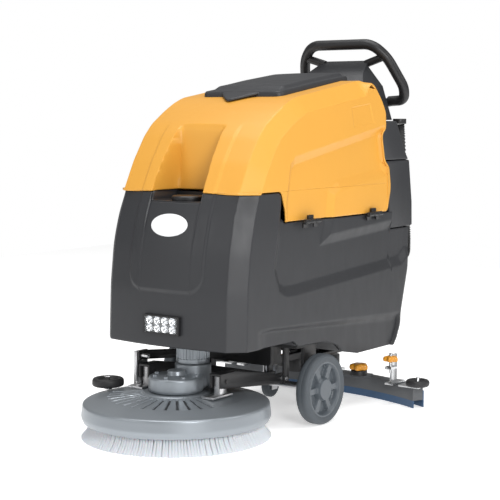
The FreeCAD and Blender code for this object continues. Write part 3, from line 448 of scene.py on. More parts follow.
def rubber(colour, roughness=0.62, grain=420.0, depth=0.35):
    """Rubber with a pebbled skin and dusty patches."""
    def build(name):
        make = Maker(name)
        dust = make.noise(26.0, 5.0)
        pebble = make.noise(grain, 3.0)
        tone = make.mix(dust, shade(colour, 0.86), shade(colour, 1.18))
        return make.done(
            Base_Color=tone, Roughness=roughness + (dust - 0.5) * 0.2,
            Normal=make.bump(pebble, depth, 0.0012))
    return build


def filament(colour):
    """Bristle filaments: thin upright streaks of light and shade."""
    def build(name):
        make = Maker(name)
        streak = make.noise(1500.0, 2.0, (1.0, 1.0, 0.03))
        cloud = make.noise(60.0, 2.0)
        tone = make.mix(streak ** 1.4, shade(colour, 0.86), shade(colour, 1.12))
        return make.done(Base_Color=tone, Roughness=0.5 + (cloud - 0.5) * 0.2, Subsurface_Weight=0.15,
                         Subsurface_Scale=0.004, Normal=make.bump(streak, 0.6, 0.0006))
    return build


def glass(colour, roughness, alpha):
    """Clear moulded lens."""
    def build(name):
        make = Maker(name)
        cloud = make.noise(120.0, 2.0)
        return make.done(Base_Color=shade(colour, 1.0), Roughness=roughness + (cloud - 0.5) * 0.04,
                         Alpha=alpha, Coat_Weight=0.6)
    return build


def finishes():
    """Every finish by name, from the colours in the sidebar."""
    colours = bpy.context.scene.scrubber_colours
    yellow = tuple(colours.yellow)
    dark = tuple(colours.dark)
    silver = tuple(colours.silver)
    return {
        "yellow_shell": moulded(yellow, 0.42, depth=0.10, mottle=0.03),
        "dark_shell": moulded(dark, 0.46, depth=0.16, mottle=0.08),
        "lid_grey": moulded(shade(dark, 1.05), 0.50, depth=0.14),
        "black_plastic": moulded((0.012, 0.012, 0.013), 0.42, depth=0.10),
        "soft_black": rubber((0.014, 0.014, 0.015), 0.55, 700.0, 0.2),
        "black_steel": metal((0.016, 0.016, 0.017), 0.42, 0.0, scale=520.0, depth=0.16),
        "cast_silver": metal(silver, 0.36, 0.55, scale=480.0, depth=0.10),
        "steel": metal((0.62, 0.62, 0.63), 0.30, 1.0, (1.0, 1.0, 6.0)),
        "stainless": metal((0.60, 0.61, 0.62), 0.27, 1.0, (1.0, 9.0, 9.0)),
        "bristle": filament(tuple(colours.bristle)),
        "brush_plate": moulded((0.07, 0.07, 0.08), 0.5),
        "tyre": rubber(tuple(colours.rubber)),
        "rim": moulded(shade(tuple(colours.rubber), 1.35), 0.36, coat=0.15),
        "blue_rubber": rubber(tuple(colours.blade), 0.42, 900.0, 0.1),
        "squeegee_grey": moulded((0.085, 0.090, 0.096), 0.42),
        "knob_yellow": moulded(tuple(colours.knob), 0.32, depth=0.05, coat=0.25),
        "white_badge": moulded((0.80, 0.81, 0.82), 0.28, depth=0.02, coat=0.3),
        "reflector": metal((0.82, 0.83, 0.85), 0.12, 1.0, depth=0.02),
        "lamp_glass": glass((0.9, 0.93, 0.95), 0.06, 0.10),
        "battery_case": moulded((0.022, 0.022, 0.025), 0.4),
        "panel_film": moulded((0.05, 0.052, 0.056), 0.35, coat=0.2),
        "screen": glass((0.06, 0.085, 0.09), 0.12, 1.0),
        "stop_red": moulded((0.55, 0.012, 0.010), 0.3, coat=0.3),
        "button_green": moulded((0.03, 0.25, 0.06), 0.35, coat=0.2),
        "button_blue": moulded((0.03, 0.10, 0.38), 0.35, coat=0.2),
    }


def coat_of(name):
    """The shared material of a finish."""
    return material(name, finishes()[name])


# ---------------------------------------------------------------- lower body
BODY_WIDTH = 240.0
CORNER = 40.0
FRONT_EDGE = ((0, 150, 257, 287, 345, 410), (-42, -36, -23, -16, 0, 27))
REAR_EDGE = ((-81, -72, -21, 12, 147, 271), (780, 795, 822, 823, 864, 872))
SEAM_EDGE = ((150, 161, 187, 744, 748, 900), (409, 404, 325, 325, 271, 271))
SKIRT_EDGE = ((-70, 228, 253, 384, 447, 480, 557, 800), (0, -2, -20, -22, -41, -66, -81, -81))
TUB_RECESS = ((178, 470), (121, 203), (145, 145), (181, 128), (228, 127), (800, 161), (860, 200), (860, 470))
INSET = ((360, 251), (391, 329), (403, 407), (452, 431), (740, 463), (860, 480), (860, 281), (805, 277))


def bevel(value):
    """0 below 0, 1 above 1 and a straight slope between, its two corners eased."""
    return 0.78 * np.clip(value, 0, 1) + 0.22 * ease(value)


def side_relief(y, z, recess_corners, depth):
    """Depth of the side panels: a bevelled recess with a raised inset that spans the seam."""
    sunk = bevel(inside(y, z, recess_corners) / 25)
    raised = bevel(inside(y, z, INSET) / 27)
    return depth * (sunk - 0.86 * np.minimum(sunk, raised))


def front_panel(x, z):
    """Height of the broad raised panel on the front: a rounded rectangle 4 mm proud."""
    corner = 50
    across = np.abs(x) - (129 - corner)
    down = (146 + corner) - z
    gap = np.hypot(np.maximum(across, 0), np.maximum(down, 0)) + np.minimum(np.maximum(across, down), 0) - corner
    return 4.0 * ease(-gap / 7)


def tub_surface():
    """The lower body's wall: rows rise from the skirt to the seam, columns go round the body.
    At each height the outline is a bowed front, two bevelled corners, flat sides and a flat rear."""
    front = np.concatenate((np.linspace(0, 86, 16, endpoint=False), (87.0, 88.6), np.linspace(91, 196.5, 34)))
    corner = np.concatenate(((0.0,), np.linspace(0.04, 0.96, 9), (0.999,)))
    side = np.linspace(0.003, 1, 216, endpoint=False)
    turn = np.linspace(0, 1, 9, endpoint=False)
    rear = np.linspace(190, 0, 30)
    kind = np.concatenate([np.full(len(part), i) for i, part in enumerate((front, corner, side, turn, rear))])
    value = np.concatenate((front, corner, side, turn, rear))[None, :]
    share = np.linspace(0, 1, 104)[:, None]

    def outline(z):
        width = BODY_WIDTH - soft_line(z, (0, 308, 410), (0, 2.5, 7), 20)
        y_front = soft_line(z, *FRONT_EDGE, 16)
        y_rear = soft_line(z, *REAR_EDGE, 10)
        bow = 18 * (1 - (value / 198) ** 2)
        x = np.select([kind == 0, kind == 1, kind == 2, kind == 3],
                      [value, width - CORNER * (1 - value), width, width - 50 * (1 - np.cos(value * math.pi / 2))],
                      value)
        y = np.select([kind == 0, kind == 1, kind == 2, kind == 3],
                      [y_front - bow, y_front + CORNER * value,
                       (y_front + CORNER) * (1 - value) + (y_rear - 36) * value,
                       y_rear - 36 * (1 - np.sin(value * math.pi / 2))], y_rear)
        return x * np.ones_like(z), y

    low = np.zeros((1, value.shape[1]))
    high = np.full((1, value.shape[1]), 326.0)
    for _ in range(6):
        low = np.interp(outline(low)[1], *SKIRT_EDGE)
        high = np.interp(outline(high)[1], *SEAM_EDGE)
        high = np.where((kind == 0) & (value < 88), 384.0, high)
    z = low * (1 - share) + high * share
    x, y = outline(z)
    kernel = np.array([0, 1, 3, 1, 0]) / 5
    half = np.concatenate((-x[:, 2:0:-1], x, -x[:, -2:-4:-1]), axis=1)
    half_y = np.concatenate((y[:, 2:0:-1], y, y[:, -2:-4:-1]), axis=1)
    x = sum(weight * half[:, i:i + x.shape[1]] for i, weight in enumerate(kernel))
    y = sum(weight * half_y[:, i:i + y.shape[1]] for i, weight in enumerate(kernel))
    depth = bpy.context.scene.scrubber_sizes.recess / MM
    on_side = ease((np.abs(x) - 228) / 6)
    crease_top = np.interp(y, (106, 742), (50, 21))
    crease_low = np.interp(y, (106, 742), (38, -10))
    tuck = 9 * ease((crease_top - z) / (crease_top - crease_low)) * ease((y - 40) / 60)
    x = x - on_side * side_relief(y, z, TUB_RECESS, depth) - tuck * (kind == 2)
    lifted = np.where((kind == 0)[None, :], front_panel(x, z), 0)
    y = y - lifted
    return tuple(np.concatenate((np.flip(far[:, 1:], 1), near[:, :-1]), 1)
                 for far, near in ((-x, x), (y, y), (z, z)))


def pulled_in(limit, front, rear):
    """A change to a CAD copy that draws its outer walls in behind the moulded skin."""
    def pull(work):
        for vertex in work.verts:
            vertex.co.x = max(-limit, min(limit, vertex.co.x / MM)) * MM
            y = (vertex.co.y - BRUSH_AXIS.y) / MM
            z = (vertex.co.z - UNDERSIDE) / MM
            edge = float(np.interp(z, *FRONT_EDGE))
            y = min(max(y, edge + front), rear)
            vertex.co.y = y * MM + BRUSH_AXIS.y
    return pull


class SCRUBBER_OT_lower_body(bpy.types.Operator):
    """Moulded lower body with its recessed side panels, and the tub inside it"""
    bl_idname = "scrubber.lower_body"
    bl_label = "Lower Body"

    def execute(self, context):
        points = outward(machine(*tub_surface()))
        skin = Shape().grid(points, wrap_columns=True).build(
            "lower_body_skin", "chassis", "dark_shell", closed=False,
            replaces=("solution_tank",), crease=50)
        wall = skin.modifiers.new("wall", "SOLIDIFY")
        wall.thickness = context.scene.scrubber_sizes.wall
        wall.offset = -1
        across = rounded(((-88, 411), (-88, 384), (88, 384), (88, 411)), 6, 5)
        tray_x, tray_z = across[:, 0][:, None], across[:, 1][:, None]
        front = soft_line(tray_z, *FRONT_EDGE, 16) - 18 * (1 - (tray_x / 198) ** 2) + 1
        share = np.linspace(0, 1, 12)[None, :]
        tray = Shape().grid(machine(tray_x, front * (1 - share) + 118 * share, tray_z)).build(
            "filler_tray", "chassis", "dark_shell", closed=False, crease=50)
        sheet = tray.modifiers.new("wall", "SOLIDIFY")
        sheet.thickness = 0.003
        sheet.offset = 0
        guard = ((-126, -88), (126, -88), (126, -8), (-126, -8))
        Shape().grid(plate(guard, 10, 263.5, 267.5), wrap_columns=True).build(
            "splash_guard", "chassis", "black_plastic", crease=45)
        softened("clean_water_tub", ["solution_tank"], "chassis", "dark_shell", 0.002, pulled_in(217, 22, 845))
        return {"FINISHED"}


# ---------------------------------------------------------------- recovery tank
COWL = np.array(((8, 413), (22, 440), (50, 494), (98, 564), (134, 599), (187, 629), (235, 651), (278, 665),
                 (446, 691), (614, 717), (645, 704), (685, 663), (711, 626), (713, 605), (713, 571),
                 (691, 557), (705, 480), (728, 464), (736, 397), (716, 331), (707, 328)))
TANK_RECESS = ((178, 300), (180, 384), (204, 485), (229, 505), (705, 587), (760, 587), (760, 300))
PLAQUE = ((515, 638), (618, 650), (641, 591), (529, 580))
SCOOP_HALF = 88.0
TANK_REAR = 690
COLUMN_EDGE = 216


def cowl_line():
    """Samples along the tank's centre profile, finest where it bends, with their share of its length."""
    line = rounded(COWL, 14, 7)
    length = np.concatenate(((0,), np.cumsum(np.linalg.norm(np.diff(line, axis=0), axis=1))))
    stops = np.linspace(0, length[-1], 330)
    return np.stack((np.interp(stops, length, line[:, 0]), np.interp(stops, length, line[:, 1])), axis=-1)


def seam_at(y):
    """Height of the seam under the recovery tank."""
    return np.interp(y, (150, 161, 187, 800), (413, 408, 329, 329))


def tank_width(z):
    """Half-width of the tank's sides, which lean in a little towards the top."""
    return 238 - 6 * ease((z - 330) / 280)


def tank_surface():
    """The recovery tank's top skin. Rows follow the side profile from the front seam over the top to
    the rear; columns go across a bowed middle and down a bevelled shoulder, which is square to the profile."""
    line = cowl_line()
    number = np.arange(len(line))
    run_y, run_z = np.gradient(line[:, 0]), np.gradient(line[:, 1])
    size = np.hypot(run_y, run_z)
    flat = np.concatenate((np.linspace(0, 80, 14, endpoint=False), np.linspace(80, 104, 13, endpoint=False),
                           (104.9, 105.1), np.linspace(108, 195.5, 26)))
    shoulder = np.concatenate((np.linspace(0.0, 0.96, 12), (1.0,)))
    sloped = np.repeat((False, True), (len(flat), len(shoulder)))[None, :]
    value = np.concatenate((flat, shoulder))[None, :]
    top = np.argmax(line[:, 1])
    depth = soft_line(number, number, np.where(number < top, CORNER * ease((660 - line[:, 0]) / 70), 0) + 4.0, 5)
    bow = (10 * ease((300 - line[:, 0]) / 200) * (number < top))[:, None]
    drop = np.where(sloped, bow + depth[:, None] * value, bow * (value / 198) ** 2)
    y = line[:, :1] + (run_z / size)[:, None] * drop
    z = line[:, 1:] - (run_y / size)[:, None] * drop
    z = np.maximum(z, seam_at(y))
    x = np.where(sloped, 198 + (tank_width(z) - 198) * value, value)
    return x, y, z, top


def tank_sides(y_edge, z_edge, top):
    """The flat sides as two grids of level rows, one below and one above the front seam: each row
    runs from the shoulder's lower edge, or from the seam, back to the rear profile."""
    order = np.argsort(z_edge[top:])
    rear_z, rear_y = z_edge[top:][order], y_edge[top:][order]
    share = np.linspace(0, 1, 170)[None, :]
    low_z = np.linspace(329, 413, 26)[:, None]
    low_y = np.interp(low_z, (329, 408, 413), (187, 161, 150))
    first = np.argmax(z_edge > 413.2) - 1
    high_z = np.maximum(z_edge[first:top + 1, None], 413)
    high_y = y_edge[first:top + 1, None]
    grids = []
    for start, level in ((low_y, low_z), (high_y, high_z)):
        end = np.maximum(np.interp(level, rear_z, rear_y), start)
        y = start * (1 - share) + end * share
        z = level * np.ones_like(share)
        relief = side_relief(y, z, TANK_RECESS, bpy.context.scene.scrubber_sizes.recess / MM)
        relief = relief * ease((end - y) / 12) + 1.4 * bevel(inside(y, z, PLAQUE) / 2.5)
        grids.append((tank_width(z) - relief, y, z))
    return grids


def scoop_depth(x, y, z):
    """How far the front scoop is pushed back: to a sloping back wall between two steep cheeks."""
    back_wall = np.interp(z, (412, 480, 560, 600), (116, 119, 124, 128))
    cheek = ease((SCOOP_HALF - 8 * ease((z - 413) / 180) - np.abs(x)) / 9)
    return np.maximum(back_wall - y, 0) * cheek * (z < 606)


class SCRUBBER_OT_recovery_tank(bpy.types.Operator):
    """Yellow recovery tank with its scooped front and open mouth"""
    bl_idname = "scrubber.recovery_tank"
    bl_label = "Recovery Tank"

    def execute(self, context):
        x, y, z, top = tank_surface()
        row = np.arange(len(x))[:, None]
        shape = Shape()
        for sign in (1, -1):
            clear = np.minimum(y, TANK_REAR + 30 * ease((x - COLUMN_EDGE) / 14) * (sign > 0))
            moved = clear + scoop_depth(x, y, z) * (row < top)
            raised = front_panel(x, z) * ease((600 - z) / 30) * (x < 190) * (row < top)
            middle_x, middle_y, middle_z = ((grid[:-1, :-1] + grid[1:, 1:]) / 2 for grid in (x, moved, z))
            keep = ~((middle_x < 105) & (middle_y > 331) & (middle_y < 599) & (middle_z > 600))
            points = machine(sign * x, moved - raised, z)
            shape.grid(points if sign > 0 else points[:, ::-1], keep=keep if sign > 0 else keep[:, ::-1])
            for side_x, side_y, side_z in tank_sides(y[:, -1], z[:, -1], top):
                side_y = np.minimum(side_y, TANK_REAR) if sign < 0 else side_y
                points = machine(sign * side_x, side_y, side_z)
                shape.grid(points[::-1] if sign > 0 else points)
        skin = shape.build("recovery_tank_skin", "recovery", "yellow_shell", closed=True,
                           replaces=("recovery_tank",), crease=50)
        wall = skin.modifiers.new("wall", "SOLIDIFY")
        wall.thickness = context.scene.scrubber_sizes.wall
        wall.offset = -1
        return {"FINISHED"}


# ---------------------------------------------------------------- lid
class SCRUBBER_OT_tank_lid(bpy.types.Operator):
    """Grey lid with its raised hump and front finger tongue"""
    bl_idname = "scrubber.tank_lid"
    bl_label = "Tank Lid"

    def execute(self, context):
        edge = np.array((0, 0.6, 1.6, 3.2, 5.5, 9.0))
        across = np.concatenate((np.linspace(0, 130, 40, endpoint=False), 139 - edge[::-1])) / 139
        y = np.concatenate((290 + edge, np.linspace(301, 646, 90), 656 - edge[::-1]))
        across, y = np.meshgrid(across, y, indexing="ij")
        near_end = np.minimum(y - 290, 656 - y)
        half = 139 - 24 * (1 - np.sqrt(1 - np.clip(1 - near_end / 24, 0, 1) ** 2))
        x = across * half
        lower = soft_line(y, (278, 378, 465, 614, 656), (666, 680, 694, 714, 717), 8)
        inset = np.minimum(half - x, near_end)
        skirt = 14 * np.sqrt(np.clip(1 - (1 - np.clip(inset / 7, 0, 1)) ** 2, 0, 1))
        hump = 9 * bevel((y - 318) / 24) * bevel((124 - x) / 12) * bevel((648 - y) / 12)
        top = lower + skirt + hump + 3 * (1 - across ** 2) * np.clip(inset / 7, 0, 1)
        shape = Shape()
        for sign in (1, -1):
            upper, under = machine(sign * x, y, top), machine(sign * x, y, lower - 1)
            shape.grid(upper if sign > 0 else upper[::-1])
            shape.grid(under[::-1] if sign > 0 else under)
            for cut in ((slice(None), 0), (slice(None), -1), (-1, slice(None))):
                shape.grid(np.stack((under[cut], upper[cut])))
        share = np.linspace(0, 1, 16)[:, None]
        turn = np.linspace(0, 2 * math.pi, 33)[None, :-1]
        tip_half = 66 * (1 - share) ** 0.85 + 3
        beak_y = 296 - 62 * share
        low_z = np.interp(beak_y, (228, 278, 292), (652.5, 667.5, 671))
        high_z = np.interp(beak_y, (228, 240, 292), (656, 663, 682))
        flat = np.sign(np.cos(turn)) * np.abs(np.cos(turn)) ** 0.35
        tall = np.sign(np.sin(turn)) * np.abs(np.sin(turn)) ** 0.6
        beak = machine(tip_half * flat, beak_y, (low_z + high_z) / 2 + (high_z - low_z) / 2 * tall)
        shape.grid(beak, wrap_columns=True)
        shape.grid(np.stack((beak[-1], np.broadcast_to(beak[-1].mean(0), beak[-1].shape))), wrap_columns=True)
        shape.build("tank_lid_skin", "lid", "lid_grey", replaces=("tank_lid",), crease=50)
        return {"FINISHED"}


# ---------------------------------------------------------------- brush and deck
class SCRUBBER_OT_brush(bpy.types.Operator):
    """Disc brush: block, hub and rings of flared bristle tufts"""
    bl_idname = "scrubber.brush"
    bl_label = "Disc Brush"

    def execute(self, context):
        low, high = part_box("bristles")
        sweep = (high.x - low.x) / 2 / MM
        length = high.z / MM
        count = context.scene.scrubber_sizes.tufts
        shape = Shape()
        rng = np.random.default_rng(4)
        rings = ((sweep - 30, sweep - 5, 1.0), (sweep - 44, sweep - 26, 0.94), (sweep - 60, sweep - 48, 0.88),
                 (sweep - 92, sweep - 88, 0.7), (sweep - 124, sweep - 126, 0.55))
        for root, tip, share in rings:
            number = int(count * share)
            turn = np.linspace(0, 2 * math.pi, number, endpoint=False) + rng.uniform(-0.004, 0.004, number)
            rows = np.linspace(0, 1, 5)
            around = np.linspace(0, 2 * math.pi, 7, endpoint=False)
            spread = 3.7 + 1.9 * rows ** 1.3
            lean = rng.uniform(-1.6, 1.6, number)
            radial = root + (tip - root) * rows ** 1.5
            r = radial[None, :, None] + spread[None, :, None] * np.cos(around) * 0.95 + 0 * turn[:, None, None]
            t = spread[None, :, None] * np.sin(around) + lean[:, None, None] * rows[None, :, None]
            fringe = rng.uniform(0, 1.5, (number, 1, 7)) * (rows[None, :, None] == 1)
            z = length * (1 - rows)[None, :, None] + fringe
            angle = turn[:, None, None]
            points = np.stack((r * np.cos(angle) - t * np.sin(angle), r * np.sin(angle) + t * np.cos(angle),
                               np.broadcast_to(z, r.shape)), axis=-1) * MM
            points += np.array((0, BRUSH_AXIS.y, 0))
            shape.grid(points, wrap_columns=True)
            for row in (0, -1):
                rim = points[:, row]
                centre = np.broadcast_to(rim.mean(axis=1, keepdims=True), rim.shape)
                shape.grid(np.stack((rim, centre), axis=1), wrap_columns=True)
        core = rounded(((sweep - 130, length), (sweep - 34, length), (sweep - 26, length * 0.5), (sweep - 13, 1.4),
                        (sweep - 128, 1.4)), 3, 4)
        shape.grid(revolved(core, (0, BRUSH_AXIS.y, 0), 180), wrap_columns=True)
        shape.grid(revolved(core[[-1, 0]], (0, BRUSH_AXIS.y, 0), 180), wrap_columns=True)
        shape.build("bristle_tufts", "brush", "bristle", replaces=("bristles",), crease=70)
        return {"FINISHED"}


class SCRUBBER_OT_deck(bpy.types.Operator):
    """Silver deck cover with radial grooves darkened by painted shade strips, gearbox and vertical motor"""
    bl_idname = "scrubber.deck"
    bl_label = "Brush Deck"

    def execute(self, context):
        centre = (0, BRUSH_AXIS.y, 0)
        outer = rounded(((40, 122), (88, 122), (91, 118.4), (190, 108), (251, 95), (254.5, 92), (256.5, 76),
                         (258.5, 62), (257.5, 56), (253, 46)), 2.5, 4)
        inner = rounded(((249, 46), (253, 62), (248, 86), (190, 102), (88, 113), (40, 114)), 4, 3)
        profile = np.concatenate((outer, inner, outer[:1]))
        dense = [profile[0]]
        for start, end in zip(profile, profile[1:]):
            steps = max(1, int(np.linalg.norm(end - start) / 5))
            dense.extend(start + (end - start) * np.arange(1, steps + 1)[:, None] / steps)
        dense = np.array(dense[:-1])
        pitch = math.radians(10)

        def ribs(radius, height, turn):
            off = np.abs((turn + pitch / 2) % pitch - pitch / 2) * radius
            front = (turn > math.radians(195)) & (turn < math.radians(345))
            band = ease((radius - 97) / 2) * ease((187 - radius) / 2) * (height > 104) * front
            return radius, height - 3.6 * band * ease((4.3 - off) / 1.2)

        Shape().grid(revolved(dense, centre, 720, ripple=ribs), wrap_rows=True, wrap_columns=True).build(
            "deck_cover_skin", "deck", "cast_silver", replaces=("deck_cover",), crease=40)

        # Thin black strips just above the floor of the deck's front grooves: painted shade that makes the grooves
        # read as dark open slots.
        shape = Shape()
        angle = np.radians(np.arange(-160, -19, 10))[:, None, None]
        along = np.linspace(99.5, 184.5, 24)[None, :, None]
        across = np.linspace(-3.1, 3.1, 3)[None, None, :]
        height = np.interp(along, (91, 190), (118.4, 108)) - 3.1 + 0 * across
        shadow = np.stack(np.broadcast_arrays(
            along * np.cos(angle) - across * np.sin(angle),
            along * np.sin(angle) + across * np.cos(angle), height), -1)
        shape.grid(shadow * MM + np.asarray(centre)).build(
            "painted_groove_shade", "deck", "black_plastic", closed=False)

        shape = Shape()
        case = rounded(((0, 180), (24, 180), (26, 166.5), (38, 166), (72, 165), (76, 161), (76, 130), (71, 123),
                        (40, 122), (0, 122)), 3, 4)
        shape.grid(revolved(case, centre, 96), wrap_columns=True)
        tower = rounded(((0, 191), (47, 191), (50, 188), (50, 128), (46, 124), (0, 124)), 2, 3)
        motor_y = middle("brush_motor").y
        shape.grid(revolved(tower, (0, motor_y, 0), 72), wrap_columns=True)
        turn = np.arange(8) * math.pi / 4 + 0.2
        bolt = revolved(((0, 170.5), (5, 170.5), (6, 169.5), (6, 165), (0, 165)), (0, 0, 0), 6)
        spots = np.stack((60 * MM * np.cos(turn), BRUSH_AXIS.y + 60 * MM * np.sin(turn), 0 * turn), -1)
        shape.grid(bolt[None] + spots[:, None, None], wrap_columns=True)
        shape.build("gearbox_skin", "deck", "cast_silver",
                    replaces=("gearbox_housing",), crease=40)

        def ribbed(radius, height, angle):
            fins = (np.cos(angle * 28) > 0.2) * (height > 204) * (height < 282)
            return radius - 2.0 * (1 - fins) * (radius > 40) * (height > 204) * (height < 282), height

        can = rounded(((0, 299), (38, 299), (45, 292), (46, 284), (46, 281), (46, 205), (46, 202),
                       (46, 192), (0, 191)), 2, 3)
        Shape().grid(revolved(can, (0, motor_y, 0), 224, ripple=ribbed), wrap_columns=True).build(
            "brush_motor_skin", "deck", "cast_silver", replaces=("brush_motor",), crease=40)

        low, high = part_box("bumper_roller")
        spot = ((low.x + high.x) / 2, (low.y + high.y) / 2, low.z)
        cup = rounded(((6.2, 0), (38, 0), (44, 3), (45, 8), (44.5, 18), (41, 23), (37, 24), (30, 22), (24, 15),
                       (12, 14), (6.2, 14)), 2.5, 4)
        Shape().grid(revolved(cup, spot, 72), wrap_columns=True).grid(
            revolved(cup[[-1, 0]], spot, 72), wrap_columns=True).build(
            "bumper_cup", "bumper", "soft_black", replaces=("bumper_roller",), crease=40)
        return {"FINISHED"}


# ---------------------------------------------------------------- wheels
def spoked_rim(width):
    """A moulded rim: a dish over radius and turn, with six wedge spokes left standing between
    sunk pockets, and the same dish on the far side."""
    radius = np.concatenate(((0.0,), np.linspace(2, 77.9, 54)))[:, None]
    turn = np.linspace(0, 2 * math.pi, 240, endpoint=False)[None, :]
    sector = math.pi / 3
    off = np.abs((turn + sector / 2) % sector - sector / 2)
    half = 0.05 + 5.5 / np.maximum(radius, 5)
    spoke = 1 - bevel((off - half) * radius / 4)
    pocket = (1 - spoke) * bevel((radius - 32) / 2.5) * bevel((70 - radius) / 2.5)
    face = -4.0 * bevel((74 - radius) / 2.5) + 6.5 * bevel((31 - radius) / 2) - 11.0 * pocket - \
        3.0 * bevel((radius - 31) / 2) * bevel((72 - radius) / 3)
    across, up = radius * np.cos(turn), radius * np.sin(turn)
    near = np.stack((width - 4 + face, across, up), -1)
    far = np.stack((4 - face * 0.8, across, up), -1)
    return near * MM, far * MM


class SCRUBBER_OT_wheels(bpy.types.Operator):
    """Drive wheels with rounded tyres and spoked rims"""
    bl_idname = "scrubber.wheels"
    bl_label = "Wheels"

    def execute(self, context):
        for side, sign in (("left", 1), ("right", -1)):
            low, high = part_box("tyre_" + side)
            width = (high.x - low.x) / MM
            radius = (high.z - low.z) / 2 / MM
            spot = (low.x, (low.y + high.y) / 2, (low.z + high.z) / 2)
            half = width / 2
            tread = rounded(((78, 4), (84, 2.0), (93, 0.6), (radius - 2.6, 4), (radius, 10), (radius, half - 2),
                             (radius - 0.8, half), (radius, half + 2), (radius, width - 10),
                             (radius - 2.6, width - 4), (93, width - 0.6), (84, width - 2), (78, width - 4)), 3.5, 5)
            shape = Shape().grid(revolved(tread, spot, 144, "X"), wrap_columns=True)
            shape.grid(revolved(tread[[-1, 0]], spot, 144, "X"), wrap_columns=True)
            shape.build("tyre_skin_" + side, "wheel_" + side, "tyre", replaces=("tyre_" + side,),
                        crease=45)
            near, far = spoked_rim(width)
            if sign < 0:
                near, far = (far * (-1, 1, 1) + (width * MM, 0, 0)), (near * (-1, 1, 1) + (width * MM, 0, 0))
            shape = Shape().grid(near + spot, wrap_columns=True).grid(far + spot, wrap_columns=True)
            shape.grid(np.stack((near[-1], far[-1])) + spot, wrap_columns=True)
            shape.build("spoked_rim_" + side, "wheel_" + side, "rim",
                        replaces=("wheel_rim_" + side,), crease=38)
        return {"FINISHED"}


# ---------------------------------------------------------------- squeegee
def star_knob(centre, radius, height, points=5):
    """A star knob: a circle whose radius swings in and out five times a turn, domed on top."""
    rings = rounded(((0, height), (radius * 0.55, height), (radius * 0.9, height * 0.86), (radius, height * 0.6),
                     (radius, height * 0.2), (radius * 0.9, 0), (0, 0)), 3, 4)

    def lobes(r, z, turn):
        return r * (1 + 0.18 * np.cos(points * turn) * ease(r / radius)), z

    return revolved(rings, centre, 80, ripple=lobes)


class SCRUBBER_OT_squeegee(bpy.types.Operator):
    """Curved squeegee with its knobs, washers and end rollers"""
    bl_idname = "scrubber.squeegee"
    bl_label = "Squeegee"

    def execute(self, context):
        shape = Shape()
        for sign in (1, -1):
            x = sign * 137 * MM
            y = BRUSH_AXIS.y + 721 * MM
            shape.grid(star_knob((x, y, 0.087), 25.5, 20), wrap_columns=True)
            shape.grid(star_knob((sign * 0.278, BRUSH_AXIS.y + 0.672, 0.1345), 20, 17), wrap_columns=True)
        shape.build("star_knobs", "squeegee", "knob_yellow", replaces=("squeegee_knobs",),
                    crease=45)
        shape = Shape()
        for sign in (1, -1):
            washer = rounded(((0, 17.5), (22, 17.5), (25, 15), (26, 2), (24, 0), (0, 0)), 1.5, 3)
            shape.grid(revolved(washer, (sign * 0.137, BRUSH_AXIS.y + 0.721, 0.0698), 48), wrap_columns=True)
        shape.build("knob_washers", "squeegee", "black_plastic", crease=45)
        for side in ("left", "right"):
            low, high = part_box("end_roller_" + side)
            spot = ((low.x + high.x) / 2, (low.y + high.y) / 2, low.z)
            tyre = rounded(((22, 1), (30, 0.4), (34.6, 5), (35, 10.5), (34.6, 16), (30, 20.6), (22, 20), (20, 17),
                            (6.2, 16), (6.2, 4), (20, 3)), 2.5, 4)
            Shape().grid(revolved(np.concatenate((tyre, tyre[:1])), spot, 72), wrap_columns=True).build(
                "guard_roller_" + side, "roller_" + side, "soft_black",
                replaces=("end_roller_" + side,), crease=45)
        softened("squeegee_frame", ["squeegee_body"], "squeegee", "squeegee_grey", 0.003)
        return {"FINISHED"}


# ---------------------------------------------------------------- lamp and badge
class SCRUBBER_OT_lamp(bpy.types.Operator):
    """Front lamp with two rows of bright reflectors, and the blank oval badge"""
    bl_idname = "scrubber.lamp"
    bl_label = "Lamp and Badge"

    def execute(self, context):
        cup = rounded(((11.2, 0), (10.4, 1.4), (7.5, 4.4), (4.5, 5.6), (3.4, 5.8), (3.2, 4.2), (2.2, 3.0),
                       (0, 2.6)), 1, 3)
        dish = revolved(cup, (0, 0, 0), 32, "Y")
        spots = np.array([(26 * column - 39, -65.0, 49 + 21 * line) for line in range(2) for column in range(4)])
        shape = Shape().grid(dish[None] + machine(*spots.T)[:, None, None], wrap_columns=True)
        shape.build("lamp_reflectors", "chassis", "reflector",
                    replaces=("headlight_reflectors",), crease=45)
        turn = np.linspace(0, 2 * math.pi, 96, endpoint=False)[None, :]
        ring = np.array((0, 0.25, 0.5, 0.75, 0.9, 0.955, 0.985, 1.0, 1.0))[:, None]
        out = np.array((4.2, 4.1, 3.9, 3.5, 3.2, 3.0, 2.5, 1.6, -2.0))[:, None]
        x = 62 * ring * np.cos(turn)
        z = 324 + 30 * ring * np.sin(turn)
        y = soft_line(z, *FRONT_EDGE, 16) - 18 * (1 - (x / 198) ** 2) - 4 - out
        Shape().grid(machine(x, y, z), wrap_columns=True).build(
            "oval_badge", "chassis", "white_badge", closed=False,
            replaces=("badge_plate",), crease=60)
        return {"FINISHED"}


